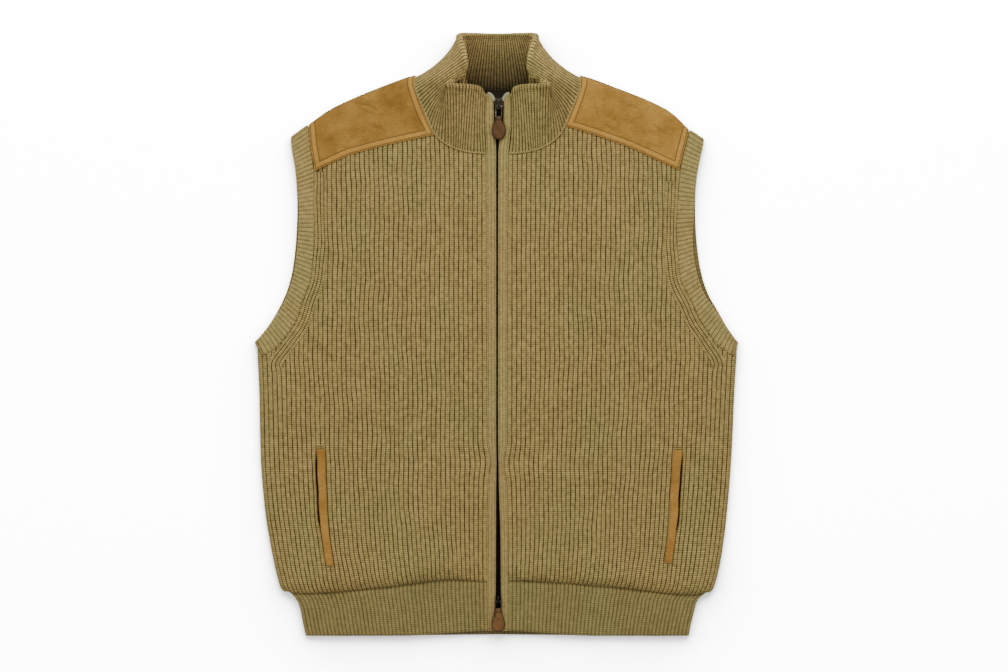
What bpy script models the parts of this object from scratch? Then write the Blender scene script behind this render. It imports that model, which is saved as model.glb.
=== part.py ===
"""Sleeveless full-zip vest in chunky rib knit, laid flat on its back.

Seen from above, +Y runs from the hem to the neck and +X is the wearer's left. Each table below is in
millimetres. A knitted piece is made flat, with its ribs raised on the outer face of a plain wall,
then cut to its pattern and laid in place. One unit of the finished scene is a metre.
"""

import math
from collections import namedtuple

import bmesh
import bpy
from mathutils import Matrix, Vector

MM = 0.001
RIGHT, LEFT = -1, 1  # the wearer's sides, as signs of X
SIDE_NAMES = {RIGHT: "right", LEFT: "left"}

# Cloth, in mm
BACK_WALL = 3.5  # back panel, lying on the floor
SEAM_GAP = 0.3
FRONT_FLOOR = BACK_WALL + SEAM_GAP  # where the front layer rests on the back
KNIT_WALL = 3.0  # front panel at the bottom of a groove
RIB_RELIEF = 1.1
RIB_PITCH = 5.85
FACE_TOP = KNIT_WALL + RIB_RELIEF
SUEDE = 1.2
PATCH_BORDER = 7.5
BORDER_RELIEF = 0.4

# Front panel, in mm
FRONT_LINE = {RIGHT: -12.2, LEFT: 13.8}  # where the ribs of each front start, on average
PINCH_SPREAD = 35.0  # how far from the zip its pinch pulls the ribs
UNDERARM_Y = -27.0
PANEL_FOOT = -320.0
FOOT_BLEND = 120.0  # the hem seam's curve fades out over this height
PANEL_TOP = 330.0
PANEL_ROWS = (PANEL_FOOT, -315, -305, -286, -250, -195, -160, -130, UNDERARM_Y, 110, PANEL_TOP)
SIDE_ROLL = 30.0  # the front curves down to the side seam over this width

SideRow = namedtuple("SideRow", "y right left")
SIDES = (
    SideRow(-27, -299.0, 300.5),
    SideRow(-69, -297.0, 298.0),
    SideRow(-144, -295.5, 294.5),
    SideRow(-207, -290.5, 289.5),
    SideRow(-257, -282.0, 283.0),
    SideRow(-300, -271.5, 273.0),
    SideRow(-322, -264.0, 264.0),
)

HemSeamRow = namedtuple("HemSeamRow", "x y")
HEM_SEAM = (
    HemSeamRow(-265, -320.5),
    HemSeamRow(-243, -321.5),
    HemSeamRow(-143, -314.0),
    HemSeamRow(-54, -304.0),
    HemSeamRow(-11, -306.5),
    HemSeamRow(21, -305.5),
    HemSeamRow(144, -313.0),
    HemSeamRow(243, -323.0),
    HemSeamRow(265, -321.5),
)

BlouseRow = namedtuple("BlouseRow", "above_seam height")
BLOUSE = (
    BlouseRow(0, 2.0),
    BlouseRow(4, 4.6),
    BlouseRow(10, 6.8),
    BlouseRow(20, 7.8),
    BlouseRow(35, 6.6),
    BlouseRow(60, 4.0),
    BlouseRow(95, 1.8),
    BlouseRow(140, 0.5),
    BlouseRow(190, 0.0),
)

# Zip edge, in mm: each placket's outer and inner edge, and how far the zip line rises off the back
ZipRow = namedtuple("ZipRow", "y right_outer right_inner left_inner left_outer rise")
ZIP_LINE = (
    ZipRow(-371, -10.0, -0.6, 5.0, 14.4, 0.0),
    ZipRow(-332, -10.9, -1.1, 5.6, 14.8, 0.0),
    ZipRow(-306, -11.2, -1.0, 5.4, 14.6, 0.8),
    ZipRow(-290, -11.3, -0.8, 5.2, 14.5, 1.6),
    ZipRow(-257, -11.3, -0.6, 5.0, 14.4, 1.2),
    ZipRow(-188, -10.0, -0.3, 2.9, 12.5, 0.4),
    ZipRow(-160, -6.9, 0.1, 2.4, 9.0, 0.2),
    ZipRow(-132, -11.0, -0.3, 1.9, 13.1, 0.0),
    ZipRow(43, -11.9, -0.3, 1.9, 13.1, 0.0),
    ZipRow(226, -12.5, -0.4, 2.3, 14.4, 0.5),
    ZipRow(243, -13.1, -0.9, 3.8, 16.3, 1.6),
    ZipRow(268, -14.4, -3.1, 8.8, 18.6, 4.2),
    ZipRow(301, -13.8, -3.8, 9.1, 18.4, 7.6),
)

# Shoulder line of the front, from the neck point out and down
Point = namedtuple("Point", "x y")
SHOULDER = {
    RIGHT: (Point(-103.8, 323.5), Point(-118, 318.5), Point(-167, 299.5), Point(-207, 281), Point(-235, 261.5)),
    LEFT: (Point(106.4, 323.2), Point(118, 319.5), Point(151, 307), Point(189, 292), Point(218, 277),
           Point(241, 255)),
}

# Armhole bands: seam and free edge of the front part, and how much further the back part reaches
BandRow = namedtuple("BandRow", "seam_x seam_y edge_x edge_y back_reach")
BANDS = {
    RIGHT: (
        BandRow(-290.0, -25.5, -300.0, -6.5, 0.0),
        BandRow(-271.9, -5.3, -289.0, 6.5, 0.0),
        BandRow(-254.4, 16.0, -273.0, 29.0, 1.5),
        BandRow(-241.9, 43.5, -261.0, 52.0, 2.5),
        BandRow(-232.5, 71.0, -253.5, 78.5, 2.5),
        BandRow(-228.8, 112.0, -249.0, 114.5, 2.5),
        BandRow(-228.1, 158.5, -247.5, 159.5, 2.0),
        BandRow(-228.8, 203.5, -251.0, 201.0, 0.5),
        BandRow(-232.5, 234.5, -255.6, 228.5, 0.0),
        BandRow(-236.5, 255.5, -258.0, 240.5, 0.0),
    ),
    LEFT: (
        BandRow(293.0, -25.0, 300.0, -6.5, 0.0),
        BandRow(276.9, -2.5, 290.5, 6.5, 0.0),
        BandRow(258.1, 21.0, 275.5, 29.0, 2.0),
        BandRow(244.4, 41.0, 261.5, 48.5, 4.5),
        BandRow(230.0, 70.0, 251.5, 75.0, 5.5),
        BandRow(226.3, 106.0, 246.0, 109.5, 5.5),
        BandRow(225.4, 149.5, 247.0, 149.5, 2.0),
        BandRow(228.8, 191.0, 250.0, 191.0, 0.0),
        BandRow(233.1, 221.0, 254.0, 216.0, 0.0),
        BandRow(240.5, 249.0, 259.5, 238.5, 0.0),
    ),
}
BAND_WALL = 3.5
BAND_RELIEF = 0.7
BAND_ACROSS = (0.0, 0.85, 1.0)
BAND_PITCH = 5.8

# Suede shoulder patches: where the lower edge meets the neck, as a collar station, then that edge's corners
PATCH_NECK_STATION = {RIGHT: 3.0, LEFT: 3.4}
PATCHES = {
    RIGHT: (Point(-135.6, 237.5), Point(-184, 224.5), Point(-224, 206), Point(-229.5, 232)),
    LEFT: (Point(99.5, 257), Point(134.5, 246), Point(168, 233.5), Point(228, 207), Point(233.5, 231)),
}

# Pocket welts, placed by the share of the front's width between zip and side seam
Welt = namedtuple("Welt", "share top bottom width")
WELTS = {RIGHT: Welt(0.735, -142, -287, 10.5), LEFT: Welt(0.757, -143, -283, 10.5)}
WELT_THICK = 1.6

# Hem band
HemRow = namedtuple("HemRow", "y right left")
HEM_SIDES = (
    HemRow(-322, -252, 255),
    HemRow(-332, -249, 250.5),
    HemRow(-344, -245.5, 248),
    HemRow(-357, -243, 244.5),
    HemRow(-369, -240.5, 242),
    HemRow(-377, -238.5, 240.5),
)
HEM_PITCH = 4.9
HEM_WALL = 3.2
HEM_RELIEF = 0.8
HEM_FOOT_SIDE, HEM_FOOT_ZIP = -376.8, -370.5
HEM_LIFT_WIDTH = 130.0  # the front hem's lower edge rises to the zip over this width

# Collar, as matching points on the neck seam, half way up and on the rim
CollarRow = namedtuple("CollarRow", "seam middle rim")
COLLAR = (
    CollarRow((-13.0, 226.9, 7.0), (-15.0, 263.0, 11.5), (-14.4, 301.5, 17.0)),
    CollarRow((-38.0, 230.0, 7.2), (-35.6, 271.0, 15.0), (-33.0, 312.0, 22.0)),
    CollarRow((-58.5, 237.5, 7.4), (-58.5, 276.0, 20.0), (-60.0, 312.5, 34.0)),
    CollarRow((-75.5, 251.0, 7.6), (-66.5, 288.0, 17.5), (-51.0, 319.5, 27.0)),
    CollarRow((-89.0, 279.5, 7.8), (-67.0, 306.0, 19.5), (-36.0, 327.5, 33.0)),
    CollarRow((-99.5, 305.0, 7.8), (-68.0, 325.0, 20.0), (-36.5, 345.0, 40.0)),
    CollarRow((-101.5, 319.0, 5.6), (-68.5, 339.5, 11.5), (-42.0, 366.0, 27.0)),
    CollarRow((-92.0, 317.5, 2.3), (-63.0, 344.5, 3.3), (-43.5, 375.0, 10.5)),
    CollarRow((-52.0, 305.0, 2.1), (-41.0, 341.0, 2.1), (-29.0, 376.0, 3.0)),
    CollarRow((1.25, 300.0, 2.1), (1.25, 338.5, 2.1), (1.25, 376.0, 2.1)),
)
COLLAR_LEFT_END = CollarRow((15.4, 226.9, 7.0), (19.4, 263.0, 11.5), (19.2, 301.5, 17.0))
COLLAR_MIDDLE_X = 1.25
COLLAR_RIBS = 104
COLLAR_WALL = 3.2
COLLAR_RELIEF = 0.5  # on each face

# Zip hardware
TAPE_WIDTH = 8.5
TAPE_THICK = 0.8
CHAIN_HALF = 2.9
CHAIN_HEIGHT = 2.2
CHAIN_SPLIT = 0.3
CHAIN_TOP = 282.0  # the teeth are parted above the top slider
CHAIN_FOOT = -325.0  # and below the bottom one
Slider = namedtuple("Slider", "y x width length height pull_tilt")
SLIDERS = {
    "top": Slider(288.5, 2.8, 10.4, 13.0, 4.0, 2.5),
    "bottom": Slider(-331.0, 2.25, 5.8, 11.0, 5.6, 0.0),
}
BRIDGE_WIDTH, BRIDGE_THICK, BRIDGE_CLEAR = 2.8, 1.1, 2.2
RING_WIRE = 1.5
RING_WIDTH, RING_LENGTH = 6.2, 9.0
TAB_THICK = 2.4
TabRow = namedtuple("TabRow", "down half_width")
TAB = (
    TabRow(0.0, 4.2),
    TabRow(3.0, 5.2),
    TabRow(9.0, 7.2),
    TabRow(15.0, 8.7),
    TabRow(20.0, 8.5),
    TabRow(24.0, 6.6),
    TabRow(26.6, 3.2),
)


def smooth_through(rows, by, column):
    """A smooth function through a table: column against by, flat beyond its ends."""
    pairs = sorted((getattr(row, by), getattr(row, column)) for row in rows)
    keys = [pair[0] for pair in pairs]
    values = [pair[1] for pair in pairs]
    last = len(keys) - 1
    slopes = [0.0] * (last + 1)
    for i in range(1, last):
        before = (values[i] - values[i - 1]) / (keys[i] - keys[i - 1])
        after = (values[i + 1] - values[i]) / (keys[i + 1] - keys[i])
        slopes[i] = 2 * before * after / (before + after) if before * after > 0 else 0.0
    slopes[0] = (values[1] - values[0]) / (keys[1] - keys[0])
    slopes[last] = (values[last] - values[last - 1]) / (keys[last] - keys[last - 1])

    def read(key):
        if key <= keys[0]:
            return values[0]
        if key >= keys[last]:
            return values[last]
        i = max(k for k in range(last) if keys[k] <= key)
        width = keys[i + 1] - keys[i]
        t = (key - keys[i]) / width
        return (values[i] * (1 + 2 * t) * (1 - t) ** 2 + values[i + 1] * t * t * (3 - 2 * t)
                + width * t * (1 - t) * (slopes[i] * (1 - t) - slopes[i + 1] * t))

    return read


def smooth_path(points, samples):
    """Points along a rounded curve through the given ones, evenly spaced in length."""
    knots = [Vector(point) for point in points]
    ends = [2 * knots[0] - knots[1]] + knots + [2 * knots[-1] - knots[-2]]
    fine = []
    for a, b, c, d in zip(ends, ends[1:], ends[2:], ends[3:]):
        for step in range(24):
            t = step / 24
            fine.append(0.5 * ((2 * b) + (c - a) * t + (2 * a - 5 * b + 4 * c - d) * t * t
                               + (3 * b - a - 3 * c + d) * t ** 3))
    fine.append(knots[-1])
    reach = [0.0]
    for start, end in zip(fine, fine[1:]):
        reach.append(reach[-1] + (end - start).length)
    path = []
    segment = 0
    for k in range(samples + 1):
        goal = reach[-1] * k / samples
        while segment < len(fine) - 2 and reach[segment + 1] < goal:
            segment += 1
        span = reach[segment + 1] - reach[segment]
        path.append(fine[segment].lerp(fine[segment + 1], (goal - reach[segment]) / span))
    return path


def ease(share):
    share = min(max(share, 0.0), 1.0)
    return share * share * (3 - 2 * share)


def even_steps(start, end, count):
    return [start + (end - start) * k / count for k in range(count + 1)]


def rib_columns(start, end, ribs, wall, relief):
    """Outer profile of a rib knit: a crest between two grooves for each rib."""
    return [(x, wall + relief * (k % 2)) for k, x in enumerate(even_steps(start, end, 2 * ribs))]


def make_slab(face, under, rows):
    """A flat wall: the profile face over the profile under, drawn out along Y through the rows."""
    bm = bmesh.new()
    ring = [bm.verts.new((x, rows[0], z)) for x, z in face]
    ring += [bm.verts.new((x, rows[0], z)) for x, z in reversed(under)]
    first = bm.faces.new(ring)
    edges = list(first.edges)
    for before, after in zip(rows, rows[1:]):
        drawn = bmesh.ops.extrude_edge_only(bm, edges=edges)["geom"]
        edges = [item for item in drawn if isinstance(item, bmesh.types.BMEdge)]
        bmesh.ops.translate(bm, vec=(0, after - before, 0),
                            verts=[item for item in drawn if isinstance(item, bmesh.types.BMVert)])
    bmesh.ops.contextual_create(bm, geom=edges)
    bmesh.ops.recalc_face_normals(bm, faces=bm.faces)
    return bm


def outline_plate(outline, low, high):
    """A flat plate of the given outline, between two heights."""
    bm = bmesh.new()
    face = bm.faces.new([bm.verts.new((point[0], point[1], low)) for point in outline])
    drawn = bmesh.ops.extrude_face_region(bm, geom=[face])["geom"]
    bmesh.ops.translate(bm, vec=(0, 0, high - low),
                        verts=[item for item in drawn if isinstance(item, bmesh.types.BMVert)])
    bmesh.ops.recalc_face_normals(bm, faces=bm.faces)
    return bm


def new_collection(name):
    collection = bpy.data.collections.new(name)
    bpy.context.scene.collection.children.link(collection)
    return collection


def add_object(name, bm, collection):
    mesh = bpy.data.meshes.new(name)
    bm.to_mesh(mesh)
    bm.free()
    item = bpy.data.objects.new(name, mesh)
    collection.objects.link(item)
    return item


def shape_by(item, other_bm, operation):
    """Cuts or joins an object with a helper solid, which stays in the cutters' collection."""
    helper = add_object(f"{item.name}_{operation.lower()}", other_bm, cutters)
    helper.hide_render = True
    helper.display_type = "WIRE"
    step = item.modifiers.new(operation.title(), "BOOLEAN")
    step.operation = operation
    step.object = helper
    graph = bpy.context.evaluated_depsgraph_get()
    shaped = bpy.data.meshes.new_from_object(item.evaluated_get(graph))
    item.modifiers.clear()
    item.data = shaped
    shaped.name = item.name


def lay(item, place):
    """Triangles are fixed while the piece is flat, then every point goes to its place in the vest."""
    bm = bmesh.new()
    bm.from_mesh(item.data)
    bmesh.ops.triangulate(bm, faces=bm.faces)
    for vert in bm.verts:
        vert.co = Vector(place(*vert.co)) * MM
    if bm.calc_volume(signed=True) < 0:
        bmesh.ops.reverse_faces(bm, faces=bm.faces)
    bm.to_mesh(item.data)
    bm.free()


def finish(item, material, smooth=True):
    item.data.materials.clear()
    item.data.materials.append(material)
    if smooth:
        item.data.shade_smooth()
        item.data.set_sharp_from_angle(angle=math.radians(50))


def make_material(name, colour, roughness, metallic=0.0):
    material = bpy.data.materials.new(name)
    material.use_nodes = True
    shader = material.node_tree.nodes["Principled BSDF"]
    shader.inputs["Base Color"].default_value = (*colour, 1.0)
    shader.inputs["Roughness"].default_value = roughness
    shader.inputs["Metallic"].default_value = metallic
    return material


# Scene, collections and materials
for item in list(bpy.data.objects):
    bpy.data.objects.remove(item)
vest = new_collection("zip_vest")
cutters = new_collection("pattern_cutters")
KNIT = make_material("body_knit", (0.275, 0.195, 0.073), 0.9)
RIB = make_material("band_knit", (0.235, 0.175, 0.065), 0.9)
TRIM = make_material("placket_knit", (0.31, 0.227, 0.09), 0.9)
SUEDE_TAN = make_material("tan_suede", (0.36, 0.19, 0.052), 0.85)
TAPE = make_material("zip_tape", (0.30, 0.24, 0.13), 0.8)
METAL = make_material("aged_metal", (0.08, 0.06, 0.045), 0.4, 1.0)
LEATHER = make_material("brown_leather", (0.125, 0.058, 0.022), 0.55)

hem_seam_y = smooth_through(HEM_SEAM, "x", "y")
blouse_height = smooth_through(BLOUSE, "above_seam", "height")
zip_rise = smooth_through(ZIP_LINE, "y", "rise")
side_x = {side: smooth_through(SIDES, "y", name) for side, name in SIDE_NAMES.items()}
hem_side_x = {side: smooth_through(HEM_SIDES, "y", name) for side, name in SIDE_NAMES.items()}
placket_outer = {side: smooth_through(ZIP_LINE, "y", f"{name}_outer") for side, name in SIDE_NAMES.items()}
placket_inner = {side: smooth_through(ZIP_LINE, "y", f"{name}_inner") for side, name in SIDE_NAMES.items()}
PANEL_WIDTH = {side: abs(side_x[side](UNDERARM_Y) - FRONT_LINE[side]) for side in SIDE_NAMES}


def lift(side, x, y):
    """How far the front panel stands off the back layer at a place in the plan."""
    roll = min(max(abs(side_x[side](y) - x) / SIDE_ROLL, 0.0), 1.0)
    over_side = math.sqrt(1 - (1 - roll) ** 2) if y < UNDERARM_Y else 1.0
    near_zip = 0.4 + 0.6 * ease(abs(x - FRONT_LINE[side]) / 40)
    return blouse_height(y - hem_seam_y(x)) * over_side * near_zip


def front_place(side):
    """Lays a point of a flat front: x is its distance from the zip line, z its height in the wall."""
    def place(x, y, z):
        width = abs(side_x[side](y) - FRONT_LINE[side])
        scale = width / PANEL_WIDTH[side] if y < UNDERARM_Y else 1.0
        plan_x = FRONT_LINE[side] + side * x * scale
        foot_share = ease((PANEL_FOOT + FOOT_BLEND - y) / FOOT_BLEND)
        plan_y = y + (hem_seam_y(plan_x) + SEAM_GAP / 2 - PANEL_FOOT) * foot_share
        pinch = placket_outer[side](plan_y) + side * SEAM_GAP - FRONT_LINE[side]
        plan_x += pinch * math.exp(-x / PINCH_SPREAD)
        return plan_x, plan_y, FRONT_FLOOR + lift(side, plan_x, plan_y) + z
    return place


def pattern_point(side, point):
    """A place in the plan, as a point of the flat front."""
    return side * (point[0] - FRONT_LINE[side]), point[1]


def band_line(side, kind, back=False):
    """The armhole band's seam or free edge, from the underarm up to the shoulder."""
    line = []
    for row in BANDS[side]:
        if kind == "seam":
            line.append((row.seam_x, row.seam_y, 0))
            continue
        seam = Vector((row.seam_x, row.seam_y, 0))
        edge = Vector((row.edge_x, row.edge_y, 0))
        line.append(edge + (edge - seam).normalized() * (row.back_reach if back else 0.0))
    return smooth_path(line, 80)


def armhole_outline(side):
    """The panels' armhole edge, a seam's gap away from the band."""
    line = band_line(side, "seam")
    shifted = []
    for before, point, after in zip(line[:1] + line, line, line[1:] + line[-1:]):
        along = (after - before).normalized()
        inward = Vector((along.y, -along.x, 0)) * (1 if side == RIGHT else -1)
        shifted.append(point + inward * SEAM_GAP)
    return shifted[::2]


# Collar's surface: its back lies flat on the floor and its sides rise to the rim
def mirrored(row):
    return CollarRow(*[(2 * COLLAR_MIDDLE_X - x, y, z) for x, y, z in row])


collar_rows = COLLAR + tuple(mirrored(row) for row in reversed(COLLAR[1:-1])) + (COLLAR_LEFT_END,)
STATION_STEPS = 24
LAST_STATION = len(collar_rows) - 1


def spline_at(points, t):
    """A rounded curve through the points, at t counted in points."""
    i = min(max(int(t), 0), len(points) - 2)
    share = t - i
    b, c = Vector(points[i]), Vector(points[i + 1])
    a = Vector(points[i - 1]) if i > 0 else 2 * b - c
    d = Vector(points[i + 2]) if i + 2 < len(points) else 2 * c - b
    return 0.5 * (2 * b + (c - a) * share + (2 * a - 5 * b + 4 * c - d) * share ** 2
                  + (3 * b - a - 3 * c + d) * share ** 3)


def collar_surface(t, up):
    """The middle of the collar's wall, at station t and this share of the way from seam to rim."""
    seam, middle, rim = (spline_at([getattr(row, name) for row in collar_rows], t)
                         for name in ("seam", "middle", "rim"))
    return seam * (1 - up) * (1 - 2 * up) + middle * 4 * up * (1 - up) + rim * up * (2 * up - 1)


station_ts = even_steps(0, LAST_STATION, STATION_STEPS * LAST_STATION)
station_reach = [0.0]
for before, after in zip(station_ts, station_ts[1:]):
    step = collar_surface(after, 0.5) - collar_surface(before, 0.5)
    station_reach.append(station_reach[-1] + step.length)
COLLAR_LENGTH = station_reach[-1]


def station_of(x):
    """The station at a length along the collar's middle line."""
    k = min(max(sum(1 for reach in station_reach if reach <= x) - 1, 0), len(station_ts) - 2)
    span = station_reach[k + 1] - station_reach[k]
    return station_ts[k] + (station_ts[k + 1] - station_ts[k]) * (x - station_reach[k]) / span


def collar_place(x, up, z):
    t = station_of(x)
    near = 0.05
    along = collar_surface(t + near, up) - collar_surface(t - near, up)
    upward = collar_surface(t, up + near) - collar_surface(t, up - near)
    outward = upward.cross(along).normalized()
    rounded = z * (0.55 if up > 0.99 else 1.0)
    point = collar_surface(t, up) + outward * rounded
    return point.x, point.y, max(point.z, 0.0)


def neck_edge(first_station, last_station, samples=24):
    """The panels' neck edge: the collar's seam, moved out past the collar's own thickness and a gap."""
    edge = []
    for t in even_steps(first_station, last_station, samples):
        seam = collar_surface(t, 0)
        along = (collar_surface(t + 0.05, 0) - collar_surface(t - 0.05, 0)).normalized()
        upward = (collar_surface(t, 0.1) - seam).normalized()
        outward = upward.cross(along).normalized()
        away = Vector((along.y, -along.x, 0)).normalized()
        if away.dot(upward) > 0:
            away.negate()
        lean = Vector((outward.x, outward.y, 0)).length
        edge.append(seam + away * (SEAM_GAP + lean * (COLLAR_WALL / 2 + COLLAR_RELIEF * 2)))
    return edge


def neck_edge_of(side, first_station, last_station, samples=24):
    """The neck edge on one side, with stations counted from that side's zip end."""
    if side == LEFT:
        first_station, last_station = LAST_STATION - first_station, LAST_STATION - last_station
    return neck_edge(first_station, last_station, samples)


def round_band_end(side):
    """The panels' edge round the fold at the armhole band's foot."""
    foot, above = BANDS[side][:2]
    seam = Vector((foot.seam_x, foot.seam_y, 0))
    edge = Vector((foot.edge_x, foot.edge_y, 0))
    back_off = (seam - Vector((above.seam_x, above.seam_y, 0))).normalized() * (BAND_WALL + 2 * SEAM_GAP)
    inner, outer = seam + back_off, edge + back_off
    at_side = inner.lerp(outer, (side_x[side](UNDERARM_Y) - inner.x) / (outer.x - inner.x))
    return [at_side, inner + (seam - edge).normalized() * SEAM_GAP]


# Front panels: rib knit, one each side of the zip, cut to the neck, shoulder and armhole
for side, name in SIDE_NAMES.items():
    ribs = round(PANEL_WIDTH[side] / RIB_PITCH)
    slab = make_slab(rib_columns(0, PANEL_WIDTH[side], ribs, KNIT_WALL, RIB_RELIEF),
                     [(x, 0.0) for x in even_steps(0, PANEL_WIDTH[side], ribs // 2)], PANEL_ROWS)
    panel = add_object(f"front_panel_{name}", slab, vest)
    armhole = round_band_end(side) + armhole_outline(side)
    outline = [(-20, PANEL_FOOT - 10), (PANEL_WIDTH[side] + 30, PANEL_FOOT - 10)]
    outline += [pattern_point(side, point) for point in armhole]
    outline += [pattern_point(side, point) for point in reversed(SHOULDER[side])]
    neck = neck_edge_of(side, 5.9, 0.1)
    outline += [pattern_point(side, point) for point in neck]
    outline += [(-20, neck[-1].y)]
    shape_by(panel, outline_plate(outline, -10, 20), "INTERSECT")
    lay(panel, front_place(side))
    finish(panel, KNIT, smooth=False)


# Shoulder patches: suede, folded under at the edge, sewn over the front panels
for side, name in SIDE_NAMES.items():
    neck = neck_edge_of(side, 5.5, PATCH_NECK_STATION[side], 4)
    outline = [pattern_point(side, point)
               for point in neck + list(PATCHES[side]) + list(reversed(SHOULDER[side]))]
    low = FACE_TOP + SEAM_GAP
    patch = add_object(f"shoulder_patch_{name}", outline_plate(outline, low, low + SUEDE), vest)
    edit = bmesh.new()
    edit.from_mesh(patch.data)
    edit.faces.ensure_lookup_table()
    upper = [face for face in edit.faces if face.calc_center_median().z > low + SUEDE - 0.01]
    bmesh.ops.inset_region(edit, faces=upper, thickness=PATCH_BORDER, use_even_offset=True)
    middle = [face for face in edit.faces if face.calc_center_median().z > low + SUEDE - 0.01
              and len(face.verts) > 4]
    middle_verts = {vert for face in middle for vert in face.verts}
    for vert in edit.verts:
        if vert.co.z > low + SUEDE - 0.01 and vert not in middle_verts:
            vert.co.z += BORDER_RELIEF
    edit.to_mesh(patch.data)
    edit.free()
    lay(patch, front_place(side))
    finish(patch, SUEDE_TAN)

# Pocket welts: a folded suede strip over each pocket's mouth, along one rib of the front
for side, name in SIDE_NAMES.items():
    welt = WELTS[side]
    middle = welt.share * PANEL_WIDTH[side]
    rows = [welt.bottom] + [y for y in PANEL_ROWS if welt.bottom < y < welt.top] + [welt.top]
    low = FACE_TOP + SEAM_GAP
    face = [(middle + welt.width * (k - 0.5), low + WELT_THICK * (0.55 if k in (0, 1) else 1.0))
            for k in (0, 0.18, 0.82, 1)]
    under = [(middle - welt.width / 2, low), (middle + welt.width / 2, low)]
    strip = add_object(f"pocket_welt_{name}", make_slab(face, under, rows), vest)
    lay(strip, front_place(side))
    finish(strip, SUEDE_TAN)

# Plackets: a plain knit binding over each zip tape, from the hem to the top of the collar
PLACKET_ROWS_ABOVE = (227, 235, 243, 252, 262, 274, 288, 301)
PLACKET_FACE = ((0.0, 3.2), (0.14, 4.6), (0.5, 5.6), (0.86, 4.9), (1.0, 3.6))
PLACKET_UNDER = ((0.0, 1.2), (0.45, 1.2), (0.6, 2.6), (1.0, 2.6))


def placket_rows(side):
    """Rows that meet those of the front panel beside the zip."""
    beside_panel = [front_place(side)(0, y, 0)[1] for y in PANEL_ROWS]
    return [-371, -350, -330] + [y for y in beside_panel if y < 200] + list(PLACKET_ROWS_ABOVE)


def placket_place(side):
    def place(x, y, z):
        outer, inner = placket_outer[side](y), placket_inner[side](y)
        return outer + (inner - outer) * x, y, FRONT_FLOOR + zip_rise(y) + z
    return place


for side, name in SIDE_NAMES.items():
    placket = add_object(f"placket_{name}", make_slab(PLACKET_FACE, PLACKET_UNDER, placket_rows(side)),
                         vest)
    lay(placket, placket_place(side))
    finish(placket, TRIM)


# Zip tapes: a woven tape under each placket, its inner edge thickened by the closed teeth
def tape_place(side):
    def place(x, y, z):
        middle = (placket_inner[RIGHT](y) + placket_inner[LEFT](y)) / 2
        height = z if CHAIN_FOOT < y < CHAIN_TOP else min(z, TAPE_THICK)
        reach = abs(placket_outer[side](y) - middle) - SEAM_GAP
        return middle + side * min(x, reach), y, FRONT_FLOOR + zip_rise(y) + height
    return place


for side, name in SIDE_NAMES.items():
    face = ((CHAIN_SPLIT, CHAIN_HEIGHT), (CHAIN_HALF, CHAIN_HEIGHT), (CHAIN_HALF + 0.1, TAPE_THICK),
            (TAPE_WIDTH, TAPE_THICK))
    under = ((CHAIN_SPLIT, 0.0), (TAPE_WIDTH, 0.0))
    rows = sorted(set(placket_rows(side)) | {CHAIN_TOP, CHAIN_TOP - 1.5, CHAIN_FOOT, CHAIN_FOOT + 1.5})
    tape = add_object(f"zip_tape_{name}", make_slab(face, under, rows), vest)
    lay(tape, tape_place(side))
    finish(tape, TAPE)


# Back panel: lies flat on the floor, cut a little fuller than the front at the shoulders
BACK_SHOULDER_REACH = 1.2
BACK_NECK = (Point(-104.8, 315.5), Point(-92, 314.0), Point(-60, 304), Point(-25, 299),
             Point(1.25, 298.6), Point(27.5, 299), Point(62.5, 304), Point(94.5, 314.0), Point(107.5, 315.5))


def back_side_line(side):
    """The back panel's edge from the hem up the side, round the armhole and in along the shoulder."""
    line = [(side_x[side](y), y, 0) for y in even_steps(PANEL_FOOT, UNDERARM_Y + 7, 13)]
    line += round_band_end(side) + armhole_outline(side)
    return line + [(point.x, point.y + BACK_SHOULDER_REACH, 0) for point in reversed(SHOULDER[side])]


hem_line = [(x, hem_seam_y(x) + SEAM_GAP / 2, 0) for x in even_steps(-255, 255, 24)]
back_outline = hem_line + back_side_line(LEFT) + [(point.x, point.y, 0) for point in reversed(BACK_NECK)]
back_outline += list(reversed(back_side_line(RIGHT)))
back = add_object("back_panel", outline_plate(back_outline, 0, BACK_WALL), vest)
lay(back, lambda x, y, z: (x, y, z))
finish(back, KNIT)

# Armhole bands: one folded strip round each armhole, its ribs across it, seamed behind the underarm
BAND_FOLD = math.pi * (SEAM_GAP + BAND_WALL) / 2
FOLD_STEPS = 4
BACK_STEPS = 24


def band_place(side, length):
    """Lays the strip as a flattened loop: up the front, over the shoulder, down the back, round the underarm."""
    seam = band_line(side, "seam")
    front_edge = band_line(side, "edge")
    back_edge = band_line(side, "edge", back=True)
    steps = len(seam) - 1

    def along(line, share):
        spot = min(max(share, 0.0), 1.0) * steps
        k = min(int(spot), steps - 1)
        return line[k].lerp(line[k + 1], spot - k)

    def place(x, across, z):
        rounded = z if across < 0.9 else z * 0.6
        centre_z = FRONT_FLOOR - SEAM_GAP / 2
        height = SEAM_GAP / 2 + rounded
        if 0 <= x <= length:
            edge, share, turn = front_edge, x / length, 0.0
        elif x < 0:
            edge, share, turn = front_edge, 0.0, math.pi * x / BAND_FOLD
        elif x <= length + BAND_FOLD:
            edge, share, turn = front_edge, 1.0, math.pi * (x - length) / BAND_FOLD
        else:
            edge, share, turn = back_edge, 1.0 - (x - length - BAND_FOLD) / length, math.pi
        point = along(seam, share).lerp(along(edge, share), across)
        ahead = along(seam, share + 0.01) - along(seam, share - 0.01)
        point += ahead.normalized() * height * math.sin(turn)
        return point.x, point.y, centre_z + height * math.cos(turn)
    return place


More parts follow.
